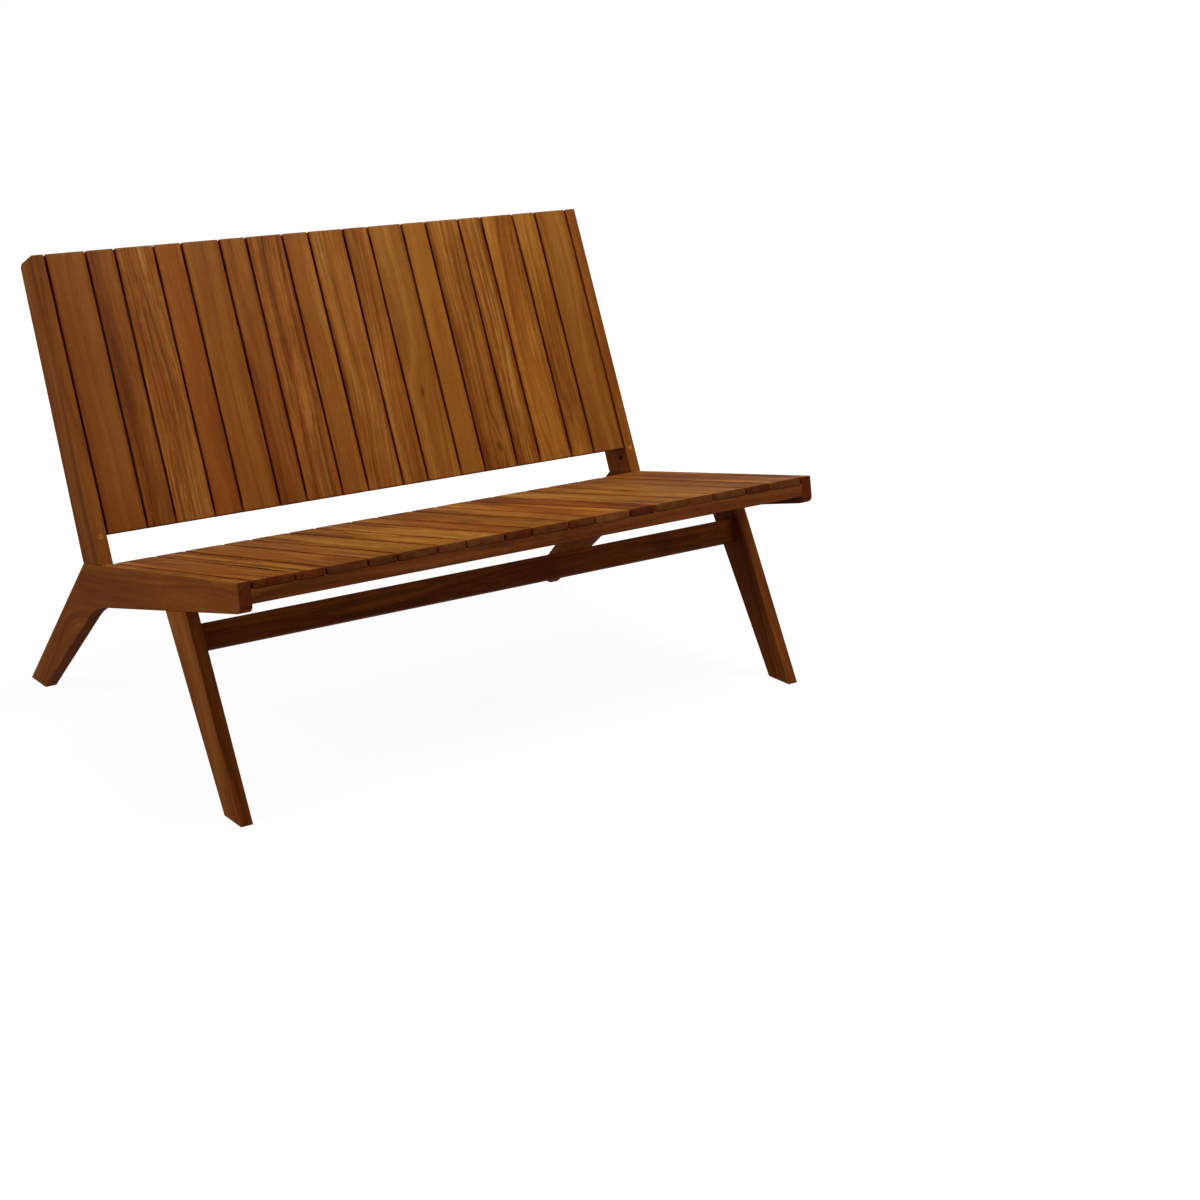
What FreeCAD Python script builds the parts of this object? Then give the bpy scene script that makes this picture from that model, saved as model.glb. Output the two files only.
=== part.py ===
import FreeCAD, Part
import Sketcher
import os

# Two-seat slatted garden bench. X runs along the bench, -Y is the front, Z is up, and the origin lies on
# the floor under the middle of the bench. Sizes are in millimetres and degrees.

SIZES = {
    # slats of the seat and of the back: a wide one at both ends, narrow ones in between by turns
    "slat_pairs": 8,
    "slat_wide": 69,
    "slat_narrow": 49,
    "slat_gap": 4,
    "slat_thick": 12,
    "edge_ease": 1.5,
    # seat
    "front_edge_y": -368.8,
    "seat_height": 379,
    "seat_slope": 11.75,
    "seat_length": 456,
    "bearer_width": 45,
    "bearer_thick": 22,
    "bearer_inset": 0.5,
    # side frames: a seat rail and a rear leg in one piece
    "frame_thick": 22,
    "rail_nose_height": 45.5,
    "rail_taper": 3,
    "nose_radius": 12,
    "elbow_radius": 150,
    "rear_leg_rake": 40.4,
    "rear_leg_taper": 5.5,
    "rear_foot_width": 58,
    # front legs and their stretcher
    "front_leg_thick": 22,
    "front_leg_rake": 29.2,
    "front_leg_taper": 3.7,
    "front_foot_width": 50,
    "front_foot_reach": 1.5,
    "stretcher_height": 41,
    "stretcher_thick": 22,
    "stretcher_drop": 18.5,
    "stretcher_setback": 21,
    # back
    "back_angle": 104.1,
    "back_clearance": 49,
    "back_slat_length": 474,
    "post_foot": 69,
    "post_top_width": 51,
    "post_top_radius": 10,
    "post_heel_radius": 4,
    "back_rail_width": 45,
    "back_rail_thick": 22,
    "back_rail_inset": 3,
    # slat screws, driven through the bearers and rails into the slats
    "screw_diameter": 4,
    "screw_bite": 8,
    "screw_head_diameter": 8,
    "screw_head_height": 2.5,
    # dowels, each set half its length into both pieces
    "dowel_diameter": 8,
    "dowel_length": 32,
    "dowel_pitch": 24,
    "leg_dowel_setin": 20,
    "leg_dowel_pitch": 30,
    # bolt, cross nut and locating dowel at the foot of each post
    "bolt_diameter": 6,
    "bolt_setback": 29.5,
    "bolt_head_diameter": 10,
    "bolt_head_height": 6,
    "bolt_head_sink": 14,
    "bolt_tail": 1,
    "nut_diameter": 10,
    "nut_length": 14,
    "nut_height": 28,
    "post_dowel_setback": 50,
    # plug and cross screw in the front face of each post
    "plug_diameter": 10,
    "plug_length": 8,
    "plug_height": 47,
    "cross_screw_length": 36,
    # play around a shank or pin in its hole, on the radius
    "hole_play": 0.1,
}

# Sizes worked out from the ones above. "underside" is the lower edge of the seat rail, "heel" the rear
# top corner of the side frame, and "brow" the top front corner of a front leg.
DERIVED = {
    "inner_width": "(Sizes.slat_pairs + 1) * Sizes.slat_wide + Sizes.slat_pairs * Sizes.slat_narrow"
                   " + (2 * Sizes.slat_pairs + 2) * Sizes.slat_gap",
    "slat_pitch": "(Sizes.slat_wide + Sizes.slat_narrow) / 2 + Sizes.slat_gap",
    "first_slat_x": "Sizes.slat_gap + Sizes.slat_wide / 2 - Layout.inner_width / 2",
    "rail_length": "Sizes.seat_length + Sizes.post_foot",
    "post_rise": "180 - Sizes.back_angle - Sizes.seat_slope",
    "joint_y": "Sizes.front_edge_y + Sizes.seat_length * cos(Sizes.seat_slope)",
    "joint_z": "Sizes.seat_height - Sizes.seat_length * sin(Sizes.seat_slope)",
    "heel_y": "Sizes.front_edge_y + Layout.rail_length * cos(Sizes.seat_slope)",
    "heel_z": "Sizes.seat_height - Layout.rail_length * sin(Sizes.seat_slope)",
    "underside_slope": "Sizes.seat_slope + Sizes.rail_taper",
    "underside_y": "Sizes.front_edge_y - Sizes.rail_nose_height * sin(Sizes.seat_slope)",
    "underside_z": "Sizes.seat_height - Sizes.rail_nose_height * cos(Sizes.seat_slope)",
    "rear_foot_y": "Layout.heel_y + Layout.heel_z * tan(Sizes.rear_leg_rake)",
    "front_foot_y": "Sizes.front_edge_y - Sizes.front_foot_reach",
    "brow_z": "(Layout.underside_z"
              " - (Layout.front_foot_y - Layout.underside_y) * tan(Layout.underside_slope))"
              " / (1 + tan(Sizes.front_leg_rake) * tan(Layout.underside_slope))",
    "brow_y": "Layout.front_foot_y + Layout.brow_z * tan(Sizes.front_leg_rake)",
    "post_length": "Sizes.back_clearance + Sizes.back_slat_length",
    "bearer_run": "(Sizes.seat_length - Sizes.bearer_width - 2 * Sizes.bearer_inset) / 2",
    "first_bearer": "Sizes.bearer_inset + Sizes.bearer_width / 2",
    "back_rail_run": "(Sizes.back_slat_length - Sizes.back_rail_width - 2 * Sizes.back_rail_inset) / 2",
    "first_back_rail": "Sizes.back_rail_inset + Sizes.back_rail_width / 2",
}

# Frames that the pieces are made in. In the seat's and the back's frames X runs along the bench, Y along
# the slats and Z out of the face that is sat on or leant on. In the leg's frame Z runs up the front face
# of a front leg and Y goes to the back of it. The underside's frame lies on the seat rail's lower edge.
FRAMES = {
    "seat": "placement(vector(0; Sizes.front_edge_y; Sizes.seat_height);"
            " rotation(vector(1; 0; 0); -Sizes.seat_slope))",
    "back": "placement(vector(0; Layout.joint_y; Layout.joint_z);"
            " rotation(vector(1; 0; 0); Layout.post_rise))",
    "leg": "placement(vector(0; Layout.brow_y; Layout.brow_z);"
           " rotation(vector(1; 0; 0); -Sizes.front_leg_rake))",
    "underside": "placement(vector(0; Layout.underside_y; Layout.underside_z);"
                 " rotation(vector(1; 0; 0); -Layout.underside_slope))",
}

HOLE = "Subtractive"
PIN = "Additive"
SEAT, BACK, LEG, UNDERSIDE = "Layout.seat", "Layout.back", "Layout.leg", "Layout.underside"
ALONG_X = "rotation(vector(0; 1; 0); 90)"
ALONG_Z = "rotation(vector(0; 0; 1); 0)"
SIDES = (("left", -1), ("right", 1))
RAILS = (0, 1, 2)
X_AXIS = FreeCAD.Vector(1, 0, 0)
Y_AXIS = FreeCAD.Vector(0, 1, 0)
NEAR = 0.01
PARALLEL = 0.9999

# Formulas that several pieces share: radii of pins, their depth in one piece, and the number of slats
SHANK = "Sizes.screw_diameter / 2"
BOLT = "Sizes.bolt_diameter / 2"
SCREW_HEAD = "Sizes.screw_head_diameter / 2"
DOWEL = "Sizes.dowel_diameter / 2"
SETIN = "Sizes.dowel_length / 2"
SLAT_COUNT = "2 * Sizes.slat_pairs + 1"

# Heights of the bearers in the seat's frame and of the back rails in the back's frame
BEARER_TOP = "-Sizes.slat_thick"
BEARER_MIDDLE = "-Sizes.slat_thick - Sizes.bearer_thick / 2"
BACK_RAIL_MIDDLE = "-Sizes.slat_thick - Sizes.back_rail_thick / 2"

# Middle of the stretcher in the leg's frame
STRETCHER_Y = "Sizes.stretcher_setback + Sizes.stretcher_thick / 2"
STRETCHER_Z = "-Sizes.stretcher_drop - Sizes.stretcher_height / 2"

# The bolt and the dowel that stand up out of each seat rail into a post, in the seat's frame
BOLT_Y = "Sizes.seat_length + Sizes.bolt_setback"
POST_DOWEL_Y = "Sizes.seat_length + Sizes.post_dowel_setback"
BOLT_SEAT_Z = "(-Sizes.rail_nose_height - (Sizes.seat_length + Sizes.bolt_setback) * tan(Sizes.rail_taper)" \
              " + Sizes.bolt_head_sink)"
BOLT_LENGTH = f"(Sizes.nut_height + Sizes.nut_diameter / 2 + Sizes.bolt_tail - {BOLT_SEAT_Z})"

doc = FreeCAD.newDocument("Bench")
sheet = doc.addObject("Spreadsheet::Sheet", "Sizes")
for row, (alias, value) in enumerate(SIZES.items(), start=1):
    sheet.set(f"A{row}", alias)
    sheet.set(f"B{row}", str(value))
    sheet.setAlias(f"B{row}", alias)
doc.recompute()

layout = doc.addObject("App::VarSet", "Layout")
for name, formula in DERIVED.items():
    layout.addProperty("App::PropertyFloat", name, "Derived sizes")
    layout.setExpression(name, formula)
    doc.recompute()
for name, formula in FRAMES.items():
    layout.addProperty("App::PropertyPlacement", name, "Frames")
    layout.setExpression(name, formula)
doc.recompute()

pieces = []
body_frames = {}


def shift(x="0", y="0", z="0", turn=ALONG_Z):
    """Placement formula for a move by x, y and z, and a turn at that place."""
    return f"placement(vector({x}; {y}; {z}); {turn})"


def value_of(formula):
    """Number that a formula gives with the present sizes."""
    return float(layout.evalExpression(formula))


def piece(label, frame, x="0", y="0", z="0"):
    """Empty body named label, placed at x, y and z of a frame."""
    body = doc.addObject("PartDesign::Body", label)
    body.Label = label
    body.setExpression("Placement", f"{frame} * {shift(x, y, z)}")
    body_frames[label] = (frame, (x, y, z))
    pieces.append(body)
    return body


def in_body(body, frame, place):
    """Formula for a place that is given in some frame, as the body itself sees it."""
    own_frame, own_place = body_frames[body.Label]
    return f"minvert({own_frame} * {shift(*own_place)}) * {frame} * {place}"


def plane(body, role):
    """One of the body's own origin planes or axes."""
    return next(item for item in body.Origin.OriginFeatures if item.Role == role)


def outline(body, role, points):
    """Closed sketch with a corner at each pair of formulas in points."""
    sketch = body.newObject("Sketcher::SketchObject", f"{body.Label}_outline")
    sketch.AttachmentSupport = [(plane(body, role), "")]
    sketch.MapMode = "FlatFace"
    places = [FreeCAD.Vector(value_of(across), value_of(up), 0) for across, up in points]
    count = len(places)
    for index, place in enumerate(places):
        sketch.addGeometry(Part.LineSegment(place, places[(index + 1) % count]), False)
    for index in range(count):
        sketch.addConstraint(Sketcher.Constraint("Coincident", index, 2, (index + 1) % count, 1))
    for index, (place, formulas) in enumerate(zip(places, points)):
        for kind, start, formula in zip(("DistanceX", "DistanceY"), (place.x, place.y), formulas):
            number = sketch.addConstraint(Sketcher.Constraint(kind, -1, 1, index, 1, start))
            sketch.renameConstraint(number, f"{kind}_{index}")
            sketch.setExpression(f"Constraints.{kind}_{index}", formula)
    return sketch


def pad(body, sketch, length, back=False):
    """Solid between the sketch and a parallel plane at the given length."""
    feature = body.newObject("PartDesign::Pad", f"{body.Label}_pad")
    feature.Profile = sketch
    feature.setExpression("Length", length)
    feature.Reversed = back
    doc.recompute()
    return feature


def rounded(body, name, radius, chosen):
    """Rounds the edges that the test chosen picks out of the body as it is now."""
    base = body.Tip
    names = [f"Edge{n}" for n, edge in enumerate(base.Shape.Edges, start=1) if chosen(edge)]
    feature = body.newObject("PartDesign::Fillet", f"{body.Label}_{name}")
    feature.Base = (base, names)
    feature.setExpression("Radius", radius)
    doc.recompute()
    return feature


def runs_along(edge, axis):
    """Whether an edge is straight and parallel to an axis."""
    ends = edge.Vertexes
    if len(ends) < 2 or edge.Curve.TypeId != "Part::GeomLine":
        return False
    return abs((ends[1].Point - ends[0].Point).normalize().dot(axis)) > PARALLEL


def lies_at(edge, across, up):
    """Whether an edge runs along X through the point with these formulas for its Y and Z."""
    point = edge.CenterOfMass
    here = FreeCAD.Vector(0, value_of(across), value_of(up))
    return runs_along(edge, X_AXIS) and (FreeCAD.Vector(0, point.y, point.z) - here).Length < NEAR


def on_side_face(thick):
    """Test for the edges around the two faces that look along X on a board of that thickness."""
    size = value_of(thick)
    return lambda edge: edge.BoundBox.XLength < NEAR and min(
        abs(edge.BoundBox.XMin), abs(edge.BoundBox.XMin - size)) < NEAR


def turned(body, name, kind, shape, frame, place, **sizes):
    """Round pin (Additive) or hole (Subtractive) that stands along Z at a place of a frame."""
    before = body.Shape.Volume if body.Tip else 0
    feature = body.newObject(f"PartDesign::{kind}{shape}", f"{body.Label}_{name}")
    for size, formula in sizes.items():
        feature.setExpression(size, formula)
    feature.setExpression("Placement", in_body(body, frame, place))
    doc.recompute()
    after = body.Shape.Volume
    if (after > before) != (kind == PIN) or after == before:
        raise RuntimeError(f"{body.Label}: {name} changes nothing")
    return feature


def cylinder(body, name, kind, frame, place, radius, height):
    """Straight pin or hole."""
    return turned(body, name, kind, "Cylinder", frame, place, Radius=radius, Height=height)


def cone(body, name, kind, frame, place, start_radius, end_radius, height):
    """Tapered pin or hole."""
    return turned(body, name, kind, "Cone", frame, place, Radius1=start_radius, Radius2=end_radius,
                  Height=height)


def pattern(body, features, axis, pitch, count):
    """Repeats features along one axis of the body."""
    feature = body.newObject("PartDesign::LinearPattern", f"{body.Label}_pattern")
    feature.Originals = features
    feature.Direction = (plane(body, axis), [""])
    feature.Mode = "Spacing"
    feature.setExpression("Offset", pitch)
    feature.setExpression("Occurrences", count)
    body.Tip = feature
    doc.recompute()
    return feature


def loose(radius):
    """Radius of the hole for a pin of the given radius."""
    return f"{radius} + Sizes.hole_play"


def board(label, frame, place, width, length, thick):
    """Flat board with its width along X, its length along Y, its top face at z = 0 and eased long edges."""
    body = piece(label, frame, *place)
    half = f"({width}) / 2"
    corners = ((f"-{half}", "0"), (half, "0"), (half, length), (f"-{half}", length))
    sketch = outline(body, "XY_Plane", corners)
    pad(body, sketch, thick, back=True)
    rounded(body, "ease", "Sizes.edge_ease", lambda edge: runs_along(edge, Y_AXIS))
    return body


def crosspiece(label, frame, place, width, thick):
    """Board that runs between the side frames, with its width along Y, its top face at z = 0 and eased
    long edges."""
    body = piece(label, frame, *place)
    half = "Layout.inner_width / 2"
    sketch = outline(body, "XY_Plane", ((f"-{half}", f"-({width}) / 2"), (half, f"-({width}) / 2"),
                                        (half, f"({width}) / 2"), (f"-{half}", f"({width}) / 2")))
    pad(body, sketch, thick, back=True)
    rounded(body, "ease", "Sizes.edge_ease", lambda edge: runs_along(edge, X_AXIS))
    return body


def dowel_pair(body, name, kind, sign, frame, y, z, radius, step):
    """Two dowels, or their holes, across the joint at one end of a crosspiece whose middle line is at y
    and z. They stand apart along the axis that step names."""
    start = f"({sign}) * Layout.inner_width / 2 - {SETIN}"
    for place, way in (("lower", -1), ("upper", 1)):
        move = f" + ({way}) * Sizes.dowel_pitch / 2"
        at_y, at_z = (y + move, z) if step == "y" else (y, z + move)
        cylinder(body, f"{name}_{place}", kind, frame, shift(start, at_y, at_z, ALONG_X), radius,
                 "Sizes.dowel_length")


def bearer_y(index):
    """Place of a seat bearer's middle line along the seat: 0 front, 1 middle, 2 rear."""
    return f"Layout.first_bearer + {index} * Layout.bearer_run"


def back_rail_y(index):
    """Place of a back rail's middle line along the back: 0 bottom, 1 middle, 2 top."""
    return f"Sizes.back_clearance + Layout.first_back_rail + {index} * Layout.back_rail_run"


def slat_x(index):
    """Place of a slat's middle line, counted from the left."""
    return f"Layout.first_slat_x + {index} * Layout.slat_pitch"


def side_x(sign, thick):
    """Place of the left-hand face of a side piece of some thickness."""
    return "Layout.inner_width / 2" if sign > 0 else f"-Layout.inner_width / 2 - {thick}"


def side_middle(sign, thick):
    """Place of the middle of a side piece of some thickness."""
    return f"({sign}) * (Layout.inner_width + {thick}) / 2"


def seat_point(y, z):
    """A point of the floor's frame as the seat's frame sees it."""
    ahead, above = f"({y} - Sizes.front_edge_y)", f"({z} - Sizes.seat_height)"
    return (f"{ahead} * cos(Sizes.seat_slope) - {above} * sin(Sizes.seat_slope)",
            f"{ahead} * sin(Sizes.seat_slope) + {above} * cos(Sizes.seat_slope)")


def leg_point(y, z):
    """A point of the floor's frame as the leg's frame sees it."""
    behind, above = f"({y} - Layout.brow_y)", f"({z} - Layout.brow_z)"
    return (f"{behind} * cos(Sizes.front_leg_rake) - {above} * sin(Sizes.front_leg_rake)",
            f"{behind} * sin(Sizes.front_leg_rake) + {above} * cos(Sizes.front_leg_rake)")


def underside_meets(foot_y, rake):
    """Where a line that rises from the floor at foot_y, raked back, meets the seat rail's lower edge."""
    z = (f"((Layout.underside_z - ({foot_y} - Layout.underside_y) * tan(Layout.underside_slope))"
         f" / (1 + tan({rake}) * tan(Layout.underside_slope)))")
    return f"({foot_y} + {z} * tan({rake}))", z


def upright(body, name, kind, x, y, z, radius, height):
    """Pin or hole that stands square to the seat."""
    return cylinder(body, name, kind, SEAT, shift(x, y, z), radius, height)


def cross_nut(body, name, kind, sign, radius):
    """Cross nut, or its seat, in the inner face of a post."""
    place = shift(side_x(sign, "Sizes.nut_length"), BOLT_Y, "Sizes.nut_height", ALONG_X)
    cylinder(body, name, kind, SEAT, place, radius, "Sizes.nut_length")


def leg_dowels(body, name, kind, x, radius):
    """Two dowels, or their holes, square to the joint between a front leg and the seat rail."""
    top_y, top_z = "Layout.brow_y", "Layout.brow_z"
    rear_y, rear_z = underside_meets("(Layout.front_foot_y + Sizes.front_foot_width)",
                                     "(Sizes.front_leg_rake + Sizes.front_leg_taper)")
    middle = (f"((({top_y} + {rear_y}) / 2 - Layout.underside_y) * cos(Layout.underside_slope)"
              f" - (({top_z} + {rear_z}) / 2 - Layout.underside_z) * sin(Layout.underside_slope))")
    for place, way in (("front", -1), ("rear", 1)):
        y = f"{middle} + ({way}) * Sizes.leg_dowel_pitch / 2"
        cylinder(body, f"{name}_{place}", kind, UNDERSIDE, shift(x, y, "-Sizes.leg_dowel_setin"), radius,
                 "2 * Sizes.leg_dowel_setin")


def side_frame(side, sign):
    """Seat rail and rear leg in one piece, in the seat's frame, with a rounded elbow and nose."""
    body = piece(f"side_frame_{side}", SEAT, side_x(sign, "Sizes.frame_thick"))
    foot_rear = seat_point("Layout.rear_foot_y", "0")
    foot_front = seat_point("(Layout.rear_foot_y - Sizes.rear_foot_width)", "0")
    elbow = seat_point(*underside_meets("(Layout.rear_foot_y - Sizes.rear_foot_width)",
                                        "(-Sizes.rear_leg_rake - Sizes.rear_leg_taper)"))
    nose = ("0", "-Sizes.rail_nose_height")
    sketch = outline(body, "YZ_Plane", (("0", "0"), ("Layout.rail_length", "0"), foot_rear, foot_front,
                                        elbow, nose))
    pad(body, sketch, "Sizes.frame_thick")
    rounded(body, "elbow", "Sizes.elbow_radius", lambda edge: lies_at(edge, *elbow))
    rounded(body, "nose", "Sizes.nose_radius", lambda edge: lies_at(edge, *nose))
    rounded(body, "ease", "Sizes.edge_ease", on_side_face("Sizes.frame_thick"))
    for index in RAILS:
        dowel_pair(body, f"bearer_{index}", HOLE, sign, SEAT, bearer_y(index), BEARER_MIDDLE, loose(DOWEL),
                   "y")
    middle = side_middle(sign, "Sizes.frame_thick")
    upright(body, "bolt_hole", HOLE, middle, BOLT_Y, BOLT_SEAT_Z, loose(BOLT), BOLT_LENGTH)
    upright(body, "bolt_sink", HOLE, middle, BOLT_Y, f"{BOLT_SEAT_Z} - 2 * Sizes.bolt_head_sink",
            loose("Sizes.bolt_head_diameter / 2"), "2 * Sizes.bolt_head_sink")
    upright(body, "post_dowel_hole", HOLE, middle, POST_DOWEL_Y, f"-{SETIN}", loose(DOWEL),
            "Sizes.dowel_length")
    leg_dowels(body, "leg_hole", HOLE, side_middle(sign, "Sizes.front_leg_thick"), loose(DOWEL))


def front_leg(side, sign):
    """Front leg, cut level at the foot and to the slope of the seat rail at the top."""
    body = piece(f"front_leg_{side}", LEG, side_x(sign, "Sizes.front_leg_thick"))
    foot_rear_y = "(Layout.front_foot_y + Sizes.front_foot_width)"
    top_rear = leg_point(*underside_meets(foot_rear_y, "(Sizes.front_leg_rake + Sizes.front_leg_taper)"))
    sketch = outline(body, "YZ_Plane", (("0", "0"), top_rear, leg_point(foot_rear_y, "0"),
                                        leg_point("Layout.front_foot_y", "0")))
    pad(body, sketch, "Sizes.front_leg_thick")
    rounded(body, "ease", "Sizes.edge_ease", on_side_face("Sizes.front_leg_thick"))
    leg_dowels(body, "rail_hole", HOLE, side_middle(sign, "Sizes.front_leg_thick"), loose(DOWEL))
    dowel_pair(body, "stretcher", HOLE, sign, LEG, STRETCHER_Y, STRETCHER_Z, loose(DOWEL), "z")


def leg_stretcher():
    """Board between the front legs, in line with their rake."""
    body = piece("leg_stretcher", LEG, "0", "Sizes.stretcher_setback", STRETCHER_Z)
    half_x, half_z = "Layout.inner_width / 2", "Sizes.stretcher_height / 2"
    sketch = outline(body, "XZ_Plane", ((f"-{half_x}", f"-{half_z}"), (half_x, f"-{half_z}"),
                                        (half_x, half_z), (f"-{half_x}", half_z)))
    pad(body, sketch, "Sizes.stretcher_thick", back=True)
    rounded(body, "ease", "Sizes.edge_ease", lambda edge: runs_along(edge, X_AXIS))
    for side, sign in SIDES:
        dowel_pair(body, side, HOLE, sign, LEG, STRETCHER_Y, STRETCHER_Z, loose(DOWEL), "z")


def back_post(side, sign):
    """Tapered post, in the back's frame: its foot is cut to the slope of the seat rail."""
    body = piece(f"back_post_{side}", BACK, side_x(sign, "Sizes.frame_thick"))
    heel = ("Sizes.post_foot * cos(180 - Sizes.back_angle)", "-Sizes.post_foot * sin(Sizes.back_angle)")
    top_rear = ("Layout.post_length", "-Sizes.post_top_width")
    sketch = outline(body, "YZ_Plane", (("0", "0"), ("Layout.post_length", "0"), top_rear, heel))
    pad(body, sketch, "Sizes.frame_thick")
    rounded(body, "crown", "Sizes.post_top_radius", lambda edge: lies_at(edge, *top_rear))
    rounded(body, "heel", "Sizes.post_heel_radius", lambda edge: lies_at(edge, *heel))
    rounded(body, "ease", "Sizes.edge_ease", on_side_face("Sizes.frame_thick"))
    for index in RAILS:
        dowel_pair(body, f"rail_{index}", HOLE, sign, BACK, back_rail_y(index), BACK_RAIL_MIDDLE,
                   loose(DOWEL), "y")
    middle = side_middle(sign, "Sizes.frame_thick")
    cross_nut(body, "nut_seat", HOLE, sign, loose("Sizes.nut_diameter / 2"))
    upright(body, "bolt_hole", HOLE, middle, BOLT_Y, BOLT_SEAT_Z, loose(BOLT), BOLT_LENGTH)
    upright(body, "dowel_hole", HOLE, middle, POST_DOWEL_Y, f"-{SETIN}", loose(DOWEL), "Sizes.dowel_length")
    cylinder(body, "plug_hole", HOLE, BACK, shift(middle, "Sizes.plug_height", "-Sizes.plug_length"),
             "Sizes.plug_diameter / 2", "Sizes.plug_length")
    cross_screw(body, "screw", HOLE, sign, loose(SCREW_HEAD), loose(SHANK))


def cross_screw(body, name, kind, sign, head, shank):
    """Countersunk screw, or its hole, that runs from the bottom of the plug hole into the post."""
    middle = side_middle(sign, "Sizes.frame_thick")
    head_end = "-Sizes.plug_length - Sizes.screw_head_height"
    cone(body, f"{name}_head", kind, BACK, shift(middle, "Sizes.plug_height", head_end), shank, head,
         "Sizes.screw_head_height")
    cylinder(body, f"{name}_shank", kind, BACK,
             shift(middle, "Sizes.plug_height", f"{head_end} - Sizes.cross_screw_length"), shank,
             "Sizes.cross_screw_length")


def slats(name, frame, start, length, first, run):
    """Row of slats with three pilot holes each, over the bearers or rails at first, first + run and on."""
    for index in range(int(value_of(SLAT_COUNT))):
        width = "Sizes.slat_narrow" if index % 2 else "Sizes.slat_wide"
        body = board(f"{name}_{index + 1:02d}", frame, (slat_x(index), start), width, length,
                     "Sizes.slat_thick")
        hole = cylinder(body, "pilot", HOLE, frame, shift(slat_x(index), f"{start} + {first}", BEARER_TOP),
                        loose(SHANK), "Sizes.screw_bite")
        pattern(body, [hole], "Y_Axis", run, str(len(RAILS)))


def slat_screw(body, name, kind, frame, y, thick, shank, head):
    """Countersunk screw, or its hole, driven from the hidden face of a bearer or rail towards the first
    slat. A hole stops at the slat, because the slat has a pilot hole of its own."""
    hidden_face = f"{BEARER_TOP} - {thick}"
    place = shift("Layout.first_slat_x", y, hidden_face)
    length = thick if kind == HOLE else f"{thick} + Sizes.screw_bite"
    return [cylinder(body, f"{name}_shank", kind, frame, place, shank, length),
            cone(body, f"{name}_head", kind, frame, place, head, shank, "Sizes.screw_head_height")]


def bored_crosspiece(label, frame, y, width, thick):
    """Bearer or rail with a screw hole for each slat, and dowel holes in its ends."""
    body = crosspiece(label, frame, ("0", y, BEARER_TOP), width, thick)
    holes = slat_screw(body, "screw", HOLE, frame, y, thick, loose(SHANK), loose(SCREW_HEAD))
    pattern(body, holes, "X_Axis", "Layout.slat_pitch", SLAT_COUNT)
    for side, sign in SIDES:
        dowel_pair(body, side, HOLE, sign, frame, y, f"{BEARER_TOP} - {thick} / 2", loose(DOWEL), "y")


def slat_screws(label, frame, rows, thick):
    """Countersunk screws, one for each slat at each bearer or rail."""
    body = piece(label, frame)
    screws = []
    for index, y in enumerate(rows):
        screws += slat_screw(body, f"row_{index}", PIN, frame, y, thick, SHANK, SCREW_HEAD)
    pattern(body, screws, "X_Axis", "Layout.slat_pitch", SLAT_COUNT)


def dowel_set(label, frame, rows, z):
    """End dowels of a set of bearers or rails whose middle lines are at the given places."""
    body = piece(label, frame)
    for index, y in enumerate(rows):
        for side, sign in SIDES:
            dowel_pair(body, f"row_{index}_{side}", PIN, sign, frame, y, z, DOWEL, "y")


def fasteners():
    """Screws, dowels, bolts, cross nuts and plugs, like ones together."""
    bearer_rows = [bearer_y(index) for index in RAILS]
    rail_rows = [back_rail_y(index) for index in RAILS]
    slat_screws("seat_slat_screws", SEAT, bearer_rows, "Sizes.bearer_thick")
    slat_screws("back_slat_screws", BACK, rail_rows, "Sizes.back_rail_thick")
    dowel_set("seat_bearer_dowels", SEAT, bearer_rows, BEARER_MIDDLE)
    dowel_set("back_rail_dowels", BACK, rail_rows, BACK_RAIL_MIDDLE)
    stretcher_pins = piece("stretcher_dowels", LEG)
    leg_pins = piece("leg_dowels", UNDERSIDE)
    post_pins = piece("post_dowels", SEAT)
    bolts = piece("post_bolts", SEAT)
    nuts = piece("post_cross_nuts", SEAT)
    plugs = piece("post_plugs", BACK)
    screws = piece("post_cross_screws", BACK)
    for side, sign in SIDES:
        middle = side_middle(sign, "Sizes.frame_thick")
        dowel_pair(stretcher_pins, side, PIN, sign, LEG, STRETCHER_Y, STRETCHER_Z, DOWEL, "z")
        leg_dowels(leg_pins, side, PIN, side_middle(sign, "Sizes.front_leg_thick"), DOWEL)
        upright(post_pins, side, PIN, middle, POST_DOWEL_Y, f"-{SETIN}", DOWEL, "Sizes.dowel_length")
        upright(bolts, f"{side}_shank", PIN, middle, BOLT_Y, BOLT_SEAT_Z, BOLT, BOLT_LENGTH)
        upright(bolts, f"{side}_head", PIN, middle, BOLT_Y, f"{BOLT_SEAT_Z} - Sizes.bolt_head_height",
                "Sizes.bolt_head_diameter / 2", "Sizes.bolt_head_height")
        cross_nut(nuts, f"{side}_nut", PIN, sign, "Sizes.nut_diameter / 2")
        cylinder(plugs, side, PIN, BACK, shift(middle, "Sizes.plug_height", "-Sizes.plug_length"),
                 "Sizes.plug_diameter / 2", "Sizes.plug_length")
        cross_screw(screws, side, PIN, sign, SCREW_HEAD, SHANK)
    for side, sign in SIDES:
        upright(nuts, f"{side}_bore", HOLE, side_middle(sign, "Sizes.frame_thick"), BOLT_Y,
                "Sizes.nut_height - Sizes.nut_diameter", loose(BOLT), "2 * Sizes.nut_diameter")


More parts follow.
